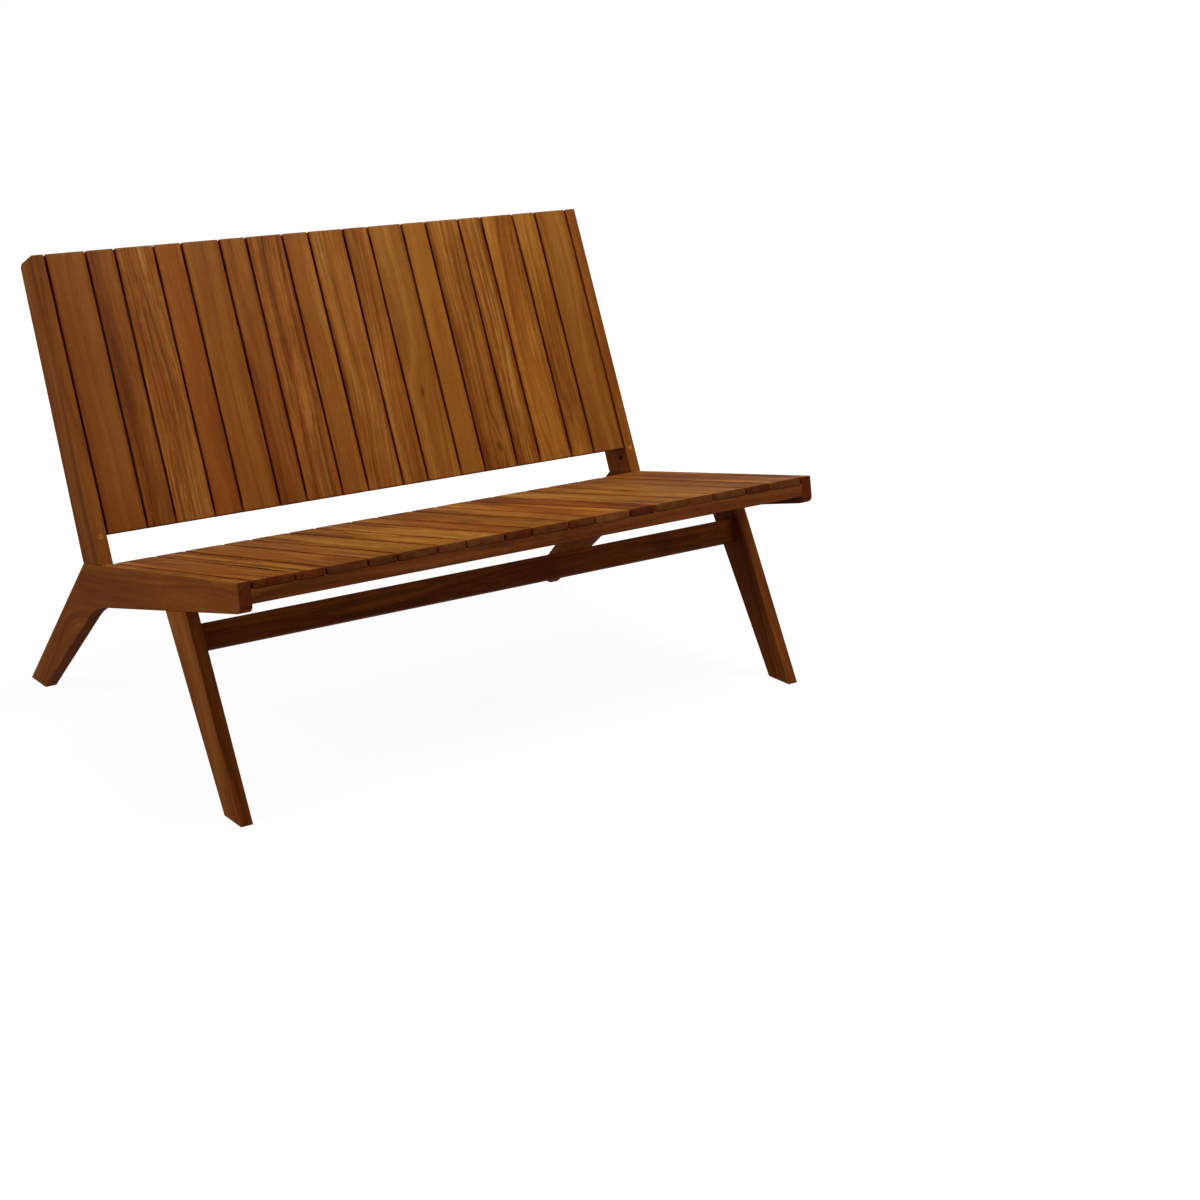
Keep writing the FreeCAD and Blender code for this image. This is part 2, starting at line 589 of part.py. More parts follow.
for side, sign in SIDES:
    side_frame(side, sign)
    front_leg(side, sign)
    back_post(side, sign)
leg_stretcher()
slats("seat_slat", SEAT, "0", "Sizes.seat_length", "Layout.first_bearer", "Layout.bearer_run")
slats("back_slat", BACK, "Sizes.back_clearance", "Sizes.back_slat_length", "Layout.first_back_rail",
      "Layout.back_rail_run")
for index, place in enumerate(("front", "middle", "rear")):
    bored_crosspiece(f"seat_bearer_{place}", SEAT, bearer_y(index), "Sizes.bearer_width",
                     "Sizes.bearer_thick")
for index, place in enumerate(("bottom", "middle", "top")):
    bored_crosspiece(f"back_rail_{place}", BACK, back_rail_y(index), "Sizes.back_rail_width",
                     "Sizes.back_rail_thick")
fasteners()

doc.recompute()
for item in doc.Objects:
    if "Invalid" in item.State or "Error" in item.State:
        raise RuntimeError(f"{item.Label} failed to build")
for body in pieces:
    if body.Shape.isNull() or not body.Shape.isValid():
        raise RuntimeError(f"{body.Label} has no valid shape")

os.makedirs("parts", exist_ok=True)
for body in pieces:
    body.Shape.exportStep(f"parts/{body.Label}.step")
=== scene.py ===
"""Two-seat slatted garden bench in oiled acacia, in a plain pale studio.

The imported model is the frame: its straight boards, bent side frames and round parts keep their places.
The slats, screws, plugs, cross nuts and bolts are new surfaces that stand for its nodes, and every other
node keeps its shape and gets a finish of its own.
"""

import bpy
import numpy as np
from bpy.props import FloatProperty, FloatVectorProperty, IntProperty, PointerProperty
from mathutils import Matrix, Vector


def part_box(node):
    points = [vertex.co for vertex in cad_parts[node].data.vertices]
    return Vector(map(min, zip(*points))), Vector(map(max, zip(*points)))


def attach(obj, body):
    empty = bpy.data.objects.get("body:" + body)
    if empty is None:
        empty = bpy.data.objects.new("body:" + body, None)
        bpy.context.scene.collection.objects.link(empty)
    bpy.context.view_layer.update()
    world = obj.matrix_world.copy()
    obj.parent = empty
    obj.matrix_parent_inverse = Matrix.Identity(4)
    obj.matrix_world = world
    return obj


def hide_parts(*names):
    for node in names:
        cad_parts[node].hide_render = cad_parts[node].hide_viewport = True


bl_info = {
    "name": "Slatted Bench",
    "version": (1, 0, 0),
    "blender": (4, 5, 0),
    "location": "View3D > Sidebar > Bench",
    "description": "Dresses a slatted garden bench in oiled wood and sets it in a studio",
    "category": "Object",
}

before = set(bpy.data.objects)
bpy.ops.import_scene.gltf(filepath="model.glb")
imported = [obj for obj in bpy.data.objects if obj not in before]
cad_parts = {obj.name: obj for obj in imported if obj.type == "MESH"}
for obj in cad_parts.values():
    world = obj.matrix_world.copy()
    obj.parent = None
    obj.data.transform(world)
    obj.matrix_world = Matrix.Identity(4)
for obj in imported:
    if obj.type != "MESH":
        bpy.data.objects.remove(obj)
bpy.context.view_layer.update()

ROOT = "root"
SLAT_COUNT = 17
SIDES = (("left", -1), ("right", 1))

# Slopes about X, in degrees, of the axes that the pieces are made in: Y runs along the slats and Z out
# of the face that is sat on or leant on. On the legs Y runs up the front leg, and down the rear one.
SEAT_TURN = -11.75
BACK_TURN = 64.15
FRONT_LEG_TURN = 60.8
REAR_LEG_TURN = -49.6
STRETCHER_TURN = -29.2


# Sizes and colours

class WoodFinish(bpy.types.PropertyGroup):
    """Colours and texture of the oiled wood."""

    pale: FloatVectorProperty(
        name="Pale Wood", description="Colour of the palest lines", subtype="COLOR", size=3,
        min=0, max=1, default=(0.60, 0.33, 0.085))
    light: FloatVectorProperty(
        name="Light Wood", description="Colour of the light bands", subtype="COLOR", size=3,
        min=0, max=1, default=(0.485, 0.230, 0.043))
    middle: FloatVectorProperty(
        name="Middle Wood", description="Colour of most of the wood", subtype="COLOR", size=3,
        min=0, max=1, default=(0.333, 0.119, 0.0137))
    dark: FloatVectorProperty(
        name="Dark Wood", description="Colour of the dark bands", subtype="COLOR", size=3,
        min=0, max=1, default=(0.186, 0.047, 0.0052))
    streak: FloatVectorProperty(
        name="Streaks", description="Colour of the dark streaks and knots", subtype="COLOR", size=3,
        min=0, max=1, default=(0.115, 0.030, 0.0045))
    end_dark: FloatVectorProperty(
        name="Dark End Grain", description="Tint of the sawn ends that took the most oil",
        subtype="COLOR", size=3, min=0, max=3, default=(0.68, 0.39, 0.60))
    end_grey: FloatVectorProperty(
        name="Grey End Grain", description="Tint of the sawn ends that went grey", subtype="COLOR",
        size=3, min=0, max=3, default=(0.72, 0.68, 1.35))
    roughness: FloatProperty(
        name="Roughness", description="Roughness of the oiled faces", min=0, max=1, default=0.46)
    relief: FloatProperty(
        name="Relief", description="Depth of the pores and fibres", subtype="DISTANCE", unit="LENGTH",
        min=0, max=0.002, default=0.00018)


class SlatShape(bpy.types.PropertyGroup):
    """Shape of the slats' edges and faces."""

    ease: FloatProperty(
        name="Edge Radius", description="Radius of the long edges", subtype="DISTANCE", unit="LENGTH",
        min=0.0002, max=0.004, default=0.0015)
    end_ease: FloatProperty(
        name="End Radius", description="Radius of the edges around the ends", subtype="DISTANCE",
        unit="LENGTH", min=0.0001, max=0.002, default=0.0005)
    crown: FloatProperty(
        name="Crown", description="Rise of the middle of a face over its edges", subtype="DISTANCE",
        unit="LENGTH", min=0, max=0.001, default=0.00015)
    wear: FloatProperty(
        name="Wear", description="Unevenness of the edge radius", subtype="FACTOR", min=0, max=0.9,
        default=0.35)
    seed: IntProperty(
        name="Seed", description="Number that chooses the wood of each slat", min=0, default=11)


class FastenerShape(bpy.types.PropertyGroup):
    """Shape of the screws, bolts, nuts and plugs."""

    head_radius: FloatProperty(
        name="Screw Head Radius", description="Radius of a countersunk head", subtype="DISTANCE",
        unit="LENGTH", min=0.001, max=0.01, default=0.004)
    shank_radius: FloatProperty(
        name="Screw Shank Radius", description="Radius of a screw's shank", subtype="DISTANCE",
        unit="LENGTH", min=0.0005, max=0.005, default=0.002)
    recess: FloatProperty(
        name="Recess Depth", description="Depth of the driver's recess", subtype="DISTANCE",
        unit="LENGTH", min=0.0002, max=0.005, default=0.0016)
    plug_dome: FloatProperty(
        name="Plug Dome", description="Rise of a plug over the face around it", subtype="DISTANCE",
        unit="LENGTH", min=0, max=0.001, default=0.00025)


class StudioSetup(bpy.types.PropertyGroup):
    """Lights, floor and camera."""

    key: FloatProperty(
        name="Key Light", description="Power of the light above on the right", unit="POWER", min=0,
        default=38)
    over: FloatProperty(
        name="Overhead Light", description="Power of the large light above", unit="POWER", min=0,
        default=15.5)
    side: FloatProperty(
        name="Side Light", description="Power of the light from the left", unit="POWER", min=0,
        default=30)
    low: FloatProperty(
        name="Low Light", description="Power of the low light from the left front", unit="POWER", min=0,
        default=10)
    front: FloatProperty(
        name="Front Light", description="Power of the light from the right front", unit="POWER", min=0,
        default=8)
    rear: FloatProperty(
        name="Rear Light", description="Power of the light behind the bench on the right", unit="POWER",
        min=0, default=8)
    behind: FloatProperty(
        name="Light Behind", description="Power of the low light behind the bench", unit="POWER", min=0,
        default=16)
    sky: FloatVectorProperty(
        name="High Ambient Light", description="Light of the room above", subtype="COLOR", size=3, min=0,
        default=(0.01, 0.01, 0.01))
    dusk: FloatVectorProperty(
        name="Low Ambient Light", description="Light that the pale floor gives back", subtype="COLOR",
        size=3, min=0, default=(0.113, 0.113, 0.113))
    backdrop: FloatVectorProperty(
        name="Backdrop", description="Colour of the room behind the bench", subtype="COLOR", size=3,
        min=0, default=(1.0, 1.0, 1.0))
    floor: FloatVectorProperty(
        name="Floor", description="Colour of the floor", subtype="COLOR", size=3, min=0, max=1,
        default=(0.15, 0.15, 0.15))
    near_glow: FloatProperty(
        name="Near Glow", description="Light that the floor adds under the bench", min=0, default=0.94)
    far_glow: FloatProperty(
        name="Far Glow", description="Light that the floor adds away from the bench", min=0, default=1.0)
    lens: FloatProperty(
        name="Lens", description="Focal length", subtype="DISTANCE_CAMERA", unit="CAMERA", min=10,
        max=200, default=62.524)


# Mesh helpers

# edges whose faces meet at more than this many degrees are sharp
SHARP_ANGLE = 35
# keeps a run of zeros from being divided by zero
TINY = 1e-6
ATTRIBUTE_FIELDS = {"FLOAT": "value", "FLOAT_VECTOR": "vector", "FLOAT_COLOR": "color"}


def turn_about_x(degrees):
    """Matrix whose columns are the world's axes turned by an angle about X."""
    angle = np.radians(degrees)
    cos, sin = np.cos(angle), np.sin(angle)
    return np.array([[1, 0, 0], [0, cos, -sin], [0, sin, cos]])


def extent(node, turn):
    """Lowest and highest corner of a node along turned axes."""
    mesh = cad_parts[node].data
    places = np.empty(len(mesh.vertices) * 3)
    mesh.vertices.foreach_get("co", places)
    local = places.reshape(-1, 3) @ turn
    return local.min(axis=0), local.max(axis=0)


def skin(rings):
    """Points and faces of rings of points: quads join each point to the next in its ring and to those of
    the ring after, and a face each closes the first and the last ring."""
    rows, columns, _ = rings.shape
    start = columns * np.arange(rows - 1)[:, None]
    column = np.arange(columns)[None, :]
    after = (column + 1) % columns
    corners = (start + column, start + after, start + columns + after, start + columns + column)
    faces = np.stack(corners, axis=-1).reshape(-1, 4).tolist()
    ring = list(range(columns))
    faces.append(ring[::-1])
    faces.append([corner + (rows - 1) * columns for corner in ring])
    return rings.reshape(-1, 3), faces


def new_object(name, data):
    """New object of the scene."""
    piece = bpy.data.objects.new(name, data)
    bpy.context.scene.collection.objects.link(piece)
    return piece


def make_piece(name, points, faces, material, nodes, attributes=()):
    """Object from points and faces, with attributes as (name, kind, domain, values), riding on the root
    body and standing for nodes."""
    mesh = bpy.data.meshes.new(name)
    mesh.from_pydata(points, [], faces)
    mesh.validate()
    for label, kind, domain, values in attributes:
        layer = mesh.attributes.new(label, kind, domain)
        layer.data.foreach_set(ATTRIBUTE_FIELDS[kind], np.ravel(values).astype(np.float32))
    mesh.shade_smooth()
    mesh.set_sharp_from_angle(angle=np.radians(SHARP_ANGLE))
    mesh.materials.append(material)
    piece = new_object(name, mesh)
    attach(piece, ROOT)
    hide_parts(*nodes)
    return piece


def smooth_run(rng, count, width):
    """Random run of count values from -1 to 1, smoothed over a width of neighbours on each side: each is
    the sum of its neighbours times a bell-shaped weight, over the greatest of the run."""
    raw = rng.uniform(-1, 1, count + 2 * width)
    kernel = np.hanning(2 * width + 1)
    run = np.convolve(raw, kernel / kernel.sum(), mode="same")[width:width + count]
    return run / max(np.abs(run).max(), TINY)


# Node helpers

def feed(tree, socket, source):
    """Links a source to a socket, or sets it as the socket's own value."""
    if isinstance(source, bpy.types.NodeSocket):
        tree.links.new(source, socket)
    else:
        socket.default_value = source


def add_node(tree, kind, **settings):
    """New node with its settings."""
    node = tree.nodes.new(kind)
    for setting, value in settings.items():
        setattr(node, setting, value)
    return node


def calc(tree, operation, *sources, clamp=False):
    """Output of a Math node."""
    node = add_node(tree, "ShaderNodeMath", operation=operation, use_clamp=clamp)
    for socket, source in zip(node.inputs, sources):
        feed(tree, socket, source)
    return node.outputs[0]


def vector_calc(tree, operation, *sources):
    """Output of a Vector Math node, which is a number for a length or a dot product."""
    node = add_node(tree, "ShaderNodeVectorMath", operation=operation)
    for socket, source in zip(node.inputs, sources):
        feed(tree, socket, source)
    return node.outputs["Value" if operation in ("LENGTH", "DOT_PRODUCT") else "Vector"]


def blend_colours(tree, factor, first, second, kind="MIX"):
    """Colour between two colours."""
    node = add_node(tree, "ShaderNodeMix", data_type="RGBA", blend_type=kind)
    feed(tree, node.inputs["Factor"], factor)
    feed(tree, node.inputs["A"], first)
    feed(tree, node.inputs["B"], second)
    return node.outputs["Result"]


def noise(tree, vector, stretch, detail, roughness, output="Fac"):
    """Noise with a number of waves per metre along each axis."""
    node = add_node(tree, "ShaderNodeTexNoise", noise_dimensions="3D")
    feed(tree, node.inputs["Vector"], vector_calc(tree, "MULTIPLY", vector, stretch))
    node.inputs["Scale"].default_value = 1
    node.inputs["Detail"].default_value = detail
    node.inputs["Roughness"].default_value = roughness
    return node.outputs[output]


def band(tree, value, low, high, start=0.0, end=1.0):
    """Value brought smoothly from low and high to start and end."""
    node = add_node(tree, "ShaderNodeMapRange", interpolation_type="SMOOTHSTEP", clamp=True)
    for socket, source in zip(node.inputs, (value, low, high, start, end)):
        feed(tree, socket, source)
    return node.outputs["Result"]


def colour(values):
    """Colour of four numbers from one of three."""
    return (*values, 1.0)


def coordinate(tree, kind):
    """Place or direction from a Texture Coordinate node."""
    return add_node(tree, "ShaderNodeTexCoord").outputs[kind]


def own_axes(tree, turn, place):
    """Place on the bench along axes that are turned about X and start at a place."""
    node = add_node(tree, "ShaderNodeMapping", vector_type="TEXTURE")
    feed(tree, node.inputs["Vector"], coordinate(tree, "Object"))
    node.inputs["Location"].default_value = place
    node.inputs["Rotation"].default_value = (np.radians(turn), 0, 0)
    return node.outputs[0]


def split(tree, vector):
    """The three numbers of a vector."""
    node = add_node(tree, "ShaderNodeSeparateXYZ")
    feed(tree, node.inputs[0], vector)
    return node.outputs


def join(tree, *numbers):
    """Vector of three numbers."""
    node = add_node(tree, "ShaderNodeCombineXYZ")
    for socket, number in zip(node.inputs, numbers):
        feed(tree, socket, number)
    return node.outputs[0]


def new_material(name):
    """New material, its node tree and its shader."""
    material = bpy.data.materials.new(name)
    material.use_nodes = True
    return material, material.node_tree, material.node_tree.nodes["Principled BSDF"]


# Oiled wood

# waves per metre across, along and deep in the board, detail and roughness of each noise
NOISES = {
    "sway": ((2.6, 1.9, 2.6), 1.5, 0.5),
    "broad bands": ((15, 2.6, 15), 2, 0.5),
    "ripple": ((24, 75, 24), 1.5, 0.5),
    "lines": ((210, 5, 210), 2, 0.55),
    "fibres": ((480, 24, 480), 2, 0.65),
    "pores": ((2100, 85, 2100), 1, 0.5),
    "dark lines": ((75, 1.5, 40), 2.5, 0.6),
    "thin lines": ((170, 2.5, 120), 1.5, 0.5),
    # patches where the worn rim and its painted highlight show
    "worn highlight patches": ((9, 9, 9), 2, 0.5),
    "end blotches": ((75, 75, 75), 2, 0.5),
}
# values of a noise between which what it is named for appears
LIMITS = {
    "pores": (0.60, 0.72),
    "dark lines": (0.53, 0.70),
    "thin lines": (0.56, 0.68),
    "worn highlight patches": (0.40, 0.62),
}
# how far the grain sways across and deep, in metres, and the rings of the tree
SWAY_REACH = (0.055, 0, 0.055)
RINGS_PER_METRE, RING_DETAIL, RING_ROUGHNESS = 70, 2.0, 0.5
# shares of the rings and the noises in the figure
RING_SHARE, BROAD_SHARE, RIPPLE_SHARE = 0.56, 0.38, 0.05
LINE_SHARE, FIBRE_SHARE = 0.17, 0.19
# strength of all of the figure and of its fine part in a board without streaks, and what streaks add
CONTRAST = (0.55, 0.8)
FINE_CONTRAST = (0.65, 1.1)
# places on the colour ramp: streaks, dark, middle, light and pale wood
RAMP_PLACES = (0.10, 0.33, 0.50, 0.68, 0.95)
# how a knot is drawn out, how far out it pulls the rings and by how much, and its dark core: the
# distances over which it fades, and how dark it is before and after
KNOT_SHAPE = (1, 0.42, 0.7)
KNOT_REACH, KNOT_PULL = 0.034, 0.012
KNOT_CORE = (0.0015, 0.0075, 0.85, 0.0)
# tints that multiply the wood's colour: red for warmth, painted shade along the face margins by the gaps,
# the worn rim that is also a painted highlight, and painted shade on the sides in the gaps
RED_TINT = (1.10, 0.60, 0.55, 1)
MARGIN_SHADE_TINT = (0.86, 0.76, 0.68, 1)
WEAR_HIGHLIGHT_TINT = (1.6, 1.6, 1.6, 1)
SIDE_SHADE_TINT = (0.66, 0.50, 0.46, 1)
# the pores' colour, and how far they and the dark lines cover the wood
PORE_COLOUR = (0.03, 0.011, 0.004, 1)
LINE_COVER, PORE_COVER = 0.65, 0.32
# values of Edge between which the painted shade of the margins, the worn rim with its painted highlight and
# the painted shade of the sides rise, and the rim falls again
MARGIN_SHADE_RISE, RIM_RISE, SIDE_SHADE_RISE = (0.0, 0.15), (0.15, 0.27), (0.45, 0.90)
RIM_FALL = (0.40, 0.60, 1.0, 0.0)
# strength of the streaks off the sawn ends and what a sawn end adds, and that of the blotches on it
SAWN_STREAKS = (1.0, -0.7)
BLOTCH_STRENGTH = 1.6
# what the fibres, the pores and the sawn ends do to the roughness
FIBRE_ROUGHNESS, PORE_ROUGHNESS, END_ROUGHNESS = 0.16, 0.12, 0.2
# heights of the fibres and the pores in the relief, and its strength
FIBRE_HEIGHT, PORE_HEIGHT, RELIEF_STRENGTH = 0.7, -0.6, 0.55
# sheen of the oil
SHEEN, SHEEN_TINT = 0.2, (1.0, 0.80, 0.45, 1.0)
# the place from a knot on boards that have none
FAR = (9.0, 9.0, 9.0)


def spots(tree, place, name):
    """1 where a noise goes past its limits, and 0 where it stays short of them."""
    return band(tree, noise(tree, place, *NOISES[name]), *LIMITS[name])


def rising(tree, source, line):
    """Source times the second number of a line, plus its first."""
    return calc(tree, "MULTIPLY_ADD", source, line[1], line[0])


def shared_out(tree, *pairs):
    """Sum of sources, each less a half and times its share."""
    total = -sum(share for _, share in pairs) / 2
    for source, share in pairs:
        total = calc(tree, "MULTIPLY_ADD", source, share, total)
    return total


def wood_group(finish):
    """Node group for sawn and oiled wood. Grain is the place in the board as across, along and deep, in
    metres from the heart of the tree, and Knot the place as seen from a knot. Tone holds warmth,
    lightness and the strength of the streaks. Edge is 0 on a face, MARGIN and BEND_START near its long
    edges, and 1 on the sides. End is 0 off the sawn ends, 1 on a dark one and up to 2 on a grey one."""
    tree = bpy.data.node_groups.new("oiled wood", "ShaderNodeTree")
    for name, kind in (("Grain", "Vector"), ("Knot", "Vector"), ("Tone", "Color"), ("Edge", "Float"),
                       ("End", "Float")):
        tree.interface.new_socket(name, in_out="INPUT", socket_type=f"NodeSocket{kind}")
    for name, kind in (("Color", "Color"), ("Roughness", "Float"), ("Normal", "Vector")):
        tree.interface.new_socket(name, in_out="OUTPUT", socket_type=f"NodeSocket{kind}")
    given = add_node(tree, "NodeGroupInput").outputs
    grain, end = given["Grain"], given["End"]
    tone = add_node(tree, "ShaderNodeSeparateColor")
    feed(tree, tone.inputs[0], given["Tone"])
    warmth, lightness, streaks = tone.outputs
    sawn = calc(tree, "MINIMUM", end, 1.0)
    streaks = calc(tree, "MULTIPLY", streaks, rising(tree, sawn, SAWN_STREAKS))

    # the place among the rings, which sway and bend round a knot
    from_knot = vector_calc(tree, "LENGTH", vector_calc(tree, "MULTIPLY", given["Knot"], KNOT_SHAPE))
    pull = calc(tree, "MULTIPLY", band(tree, from_knot, 0.0, KNOT_REACH, 1.0, 0.0), KNOT_PULL)
    sway = vector_calc(tree, "SUBTRACT", noise(tree, grain, *NOISES["sway"], output="Color"),
                       (0.5, 0.5, 0.5))
    swayed = vector_calc(tree, "ADD", grain, vector_calc(tree, "MULTIPLY", sway, SWAY_REACH))
    radius = vector_calc(tree, "LENGTH", vector_calc(tree, "MULTIPLY", swayed, (1, 0, 1)))
    rings = add_node(tree, "ShaderNodeTexNoise", noise_dimensions="1D")
    feed(tree, rings.inputs["W"], calc(tree, "ADD", radius, pull))
    feed(tree, rings.inputs["Scale"], RINGS_PER_METRE)
    feed(tree, rings.inputs["Detail"], RING_DETAIL)
    feed(tree, rings.inputs["Roughness"], RING_ROUGHNESS)

    # the figure, from dark to pale on the ramp
    broad = noise(tree, swayed, *NOISES["broad bands"])
    lines = noise(tree, swayed, *NOISES["lines"])
    fibres = noise(tree, swayed, *NOISES["fibres"])
    ripple = noise(tree, grain, *NOISES["ripple"])
    figure = shared_out(tree, (rings.outputs["Fac"], RING_SHARE), (broad, BROAD_SHARE),
                        (ripple, RIPPLE_SHARE))
    fine = shared_out(tree, (lines, LINE_SHARE), (fibres, FIBRE_SHARE))
    figure = calc(tree, "MULTIPLY_ADD", fine, rising(tree, streaks, FINE_CONTRAST), figure)
    value = calc(tree, "MULTIPLY_ADD", figure, rising(tree, streaks, CONTRAST), 0.5)
    ramp = add_node(tree, "ShaderNodeValToRGB")
    feed(tree, ramp.inputs[0], value)
    stops = ramp.color_ramp.elements
    stops[0].position, stops[0].color = RAMP_PLACES[0], colour(finish.streak)
    stops[1].position, stops[1].color = RAMP_PLACES[-1], colour(finish.pale)
    for position, wood in zip(RAMP_PLACES[1:-1], (finish.dark, finish.middle, finish.light)):
        stops.new(position).color = colour(wood)

    # warmth and lightness: half is the lightness that leaves the wood as it is
    paint = blend_colours(tree, warmth, ramp.outputs["Color"], RED_TINT, "MULTIPLY")
    brightness = calc(tree, "MULTIPLY", lightness, 2)
    shade = add_node(tree, "ShaderNodeCombineColor")
    for socket in shade.inputs:
        feed(tree, socket, brightness)
    paint = blend_colours(tree, 1.0, paint, shade.outputs[0], "MULTIPLY")

    # dark lines, the knot's core and the pores
    pores = spots(tree, grain, "pores")
    dark = calc(tree, "MAXIMUM", spots(tree, swayed, "dark lines"), spots(tree, swayed, "thin lines"))
    dark = calc(tree, "MULTIPLY", dark, streaks)
    paint = blend_colours(tree, calc(tree, "MULTIPLY", dark, LINE_COVER), paint, colour(finish.streak))
    paint = blend_colours(tree, band(tree, from_knot, *KNOT_CORE), paint, colour(finish.streak))
    paint = blend_colours(tree, calc(tree, "MULTIPLY", pores, PORE_COVER), paint, PORE_COLOUR)

    # painted shade near the long edges, worn patches on the bends that also paint a highlight along them,
    # and painted shade on the sides in the gaps
    edge = calc(tree, "MULTIPLY", given["Edge"], calc(tree, "SUBTRACT", 1.0, end, clamp=True))
    # the rim is real wear and also a painted highlight along the eased edge, in patches
    rim = calc(tree, "MULTIPLY", band(tree, edge, *RIM_RISE), band(tree, edge, *RIM_FALL))
    wear_and_highlight = calc(tree, "MULTIPLY", rim, spots(tree, grain, "worn highlight patches"))
    paint = blend_colours(tree, band(tree, edge, *MARGIN_SHADE_RISE), paint, MARGIN_SHADE_TINT, "MULTIPLY")
    paint = blend_colours(tree, wear_and_highlight, paint, WEAR_HIGHLIGHT_TINT, "MULTIPLY")
    paint = blend_colours(tree, band(tree, edge, *SIDE_SHADE_RISE), paint, SIDE_SHADE_TINT, "MULTIPLY")

    # sawn ends, dark or grey in blotches
    blotch = calc(tree, "SUBTRACT", noise(tree, grain, *NOISES["end blotches"]), 0.5)
    greyness = calc(tree, "MULTIPLY_ADD", blotch, BLOTCH_STRENGTH, calc(tree, "SUBTRACT", end, 1.0),
                    clamp=True)
    end_tint = blend_colours(tree, greyness, colour(finish.end_dark), colour(finish.end_grey))
    paint = blend_colours(tree, sawn, paint, end_tint, "MULTIPLY")

    rough = rising(tree, fibres, (finish.roughness - FIBRE_ROUGHNESS / 2, FIBRE_ROUGHNESS))
    rough = calc(tree, "MULTIPLY_ADD", pores, PORE_ROUGHNESS, rough)
    rough = calc(tree, "MULTIPLY_ADD", end, END_ROUGHNESS, rough, clamp=True)
    height = calc(tree, "MULTIPLY_ADD", pores, PORE_HEIGHT, calc(tree, "MULTIPLY", fibres, FIBRE_HEIGHT))
    bump = add_node(tree, "ShaderNodeBump")
    feed(tree, bump.inputs["Strength"], RELIEF_STRENGTH)
    feed(tree, bump.inputs["Distance"], finish.relief)
    feed(tree, bump.inputs["Height"], height)

    result = add_node(tree, "NodeGroupOutput").inputs
    feed(tree, result["Color"], paint)
    feed(tree, result["Roughness"], rough)
    feed(tree, result["Normal"], bump.outputs[0])
    return tree


def shared_wood_group():
    """The scene's node group for oiled wood."""
    found = bpy.data.node_groups.get("oiled wood")
    return found or wood_group(bpy.context.scene.bench_wood)


def wood_material(name, grain, tone, knot=FAR, edge=0.0, end=0.0):
    """Material of oiled wood. Each of the sources is a function of the tree that gives a socket, or a
    value, which is three numbers for the tone."""
    material, tree, shader = new_material(name)
    feed(tree, shader.inputs["Specular IOR Level"], SHEEN)
    feed(tree, shader.inputs["Specular Tint"], SHEEN_TINT)
    group = add_node(tree, "ShaderNodeGroup", node_tree=shared_wood_group())
    sources = {"Grain": grain, "Knot": knot, "Tone": tone if callable(tone) else colour(tone),
               "Edge": edge, "End": end}
    for label, source in sources.items():
        feed(tree, group.inputs[label], source(tree) if callable(source) else source)
    for label, output in (("Base Color", "Color"), ("Roughness", "Roughness"), ("Normal", "Normal")):
        feed(tree, shader.inputs[label], group.outputs[output])
    return material


def from_attribute(name, output):
    """Source that reads an attribute of the mesh."""
    return lambda tree: add_node(tree, "ShaderNodeAttribute", attribute_name=name).outputs[output]


# what the wood group's End is on the sawn ends of the frame, and the cosines of the angle to the grain
# between which a face starts to count as sawn across
END_TONE = 1.3
SAWN_FACING = (0.80, 0.93)


def facing(tree, direction):
    """Cosine of the angle between a face and a direction."""
    return vector_calc(tree, "DOT_PRODUCT", coordinate(tree, "Normal"), direction)


def straight_grain(turn, place, heart, crosswise=False):
    """Source of the grain of a straight board. Its wood runs along the turned Y, or along X if it is
    crosswise, and heart is how far the middle of the tree lies from the place, across and deep."""
    def source(tree):
        x, y, z = split(tree, own_axes(tree, turn, place))
        across, along, deep = (y, x, z) if crosswise else (z, y, x)
        return join(tree, calc(tree, "ADD", across, heart[0]), along, calc(tree, "ADD", deep, heart[1]))
    return source


def sawn_end(turn, crosswise=False):
    """Source that is 0 along a board and END_TONE where it is cut across its grain."""
    def source(tree):
        along = (1, 0, 0) if crosswise else tuple(turn_about_x(turn)[:, 1])
        across_grain = calc(tree, "ABSOLUTE", facing(tree, along))
        return band(tree, across_grain, *SAWN_FACING, 0.0, END_TONE)
    return source


# Slats

# points on a bend, and places across a face and a side, from -1 to 1, of the points between the bends
SECTION_BEND = 5
FACE_STOPS = (-0.95, -0.84, -0.4, 0.4, 0.84, 0.95)
SIDE_STOPS = (-0.72, 0.72)
# the edge attribute near the margins of a face and where a bend starts: it is 0 on the rest of a face
# and 1 on the sides
MARGIN = 0.15
BEND_START = 0.25
# how far from a slat's ends its sides reach their full painted shade, and the share that they have at the
# ends
SIDE_FADE, END_SIDE_SHADE = 0.025, 0.3
# rings over the rounded ends, where the even rings start, how far apart they are, and the neighbours
# over which the edge radius is smoothed
END_RINGS, EVEN_START, RING_STEP, WOBBLE_WIDTH = 4, 0.004, 0.022, 2
# least share of the edge radius that is left where a slat ends
LEAST_RADIUS = 0.2
# how far the heart of the tree lies from a slat, how long the trunk is, and how deep a knot lies
HEART_NEAR, HEART_FAR, TRUNK = 0.012, 0.075, 40
KNOT_DEPTH = 0.003


def board_section():
    """Points round a rounded rectangle. Each is a pair of places along its half sides, from -1 to 1,
    and the outward direction there, and the corner it belongs to."""
    points = []
    quarter = np.linspace(0, np.pi / 2, SECTION_BEND)
    corners = ((1, 1, 0.0), (-1, 1, np.pi / 2), (-1, -1, np.pi), (1, -1, 1.5 * np.pi))
    flats = (
        [(-stop, 1, 0, 1) for stop in FACE_STOPS],
        [(-1, -stop, -1, 0) for stop in SIDE_STOPS],
        [(stop, -1, 0, -1) for stop in FACE_STOPS],
        [(1, stop, 1, 0) for stop in SIDE_STOPS],
    )
    for number, ((side, up, start), flat) in enumerate(zip(corners, flats)):
        for angle in start + quarter:
            points.append((side, up, np.cos(angle), np.sin(angle), number))
        points += [(*place, number) for place in flat]
    return np.array(points).T


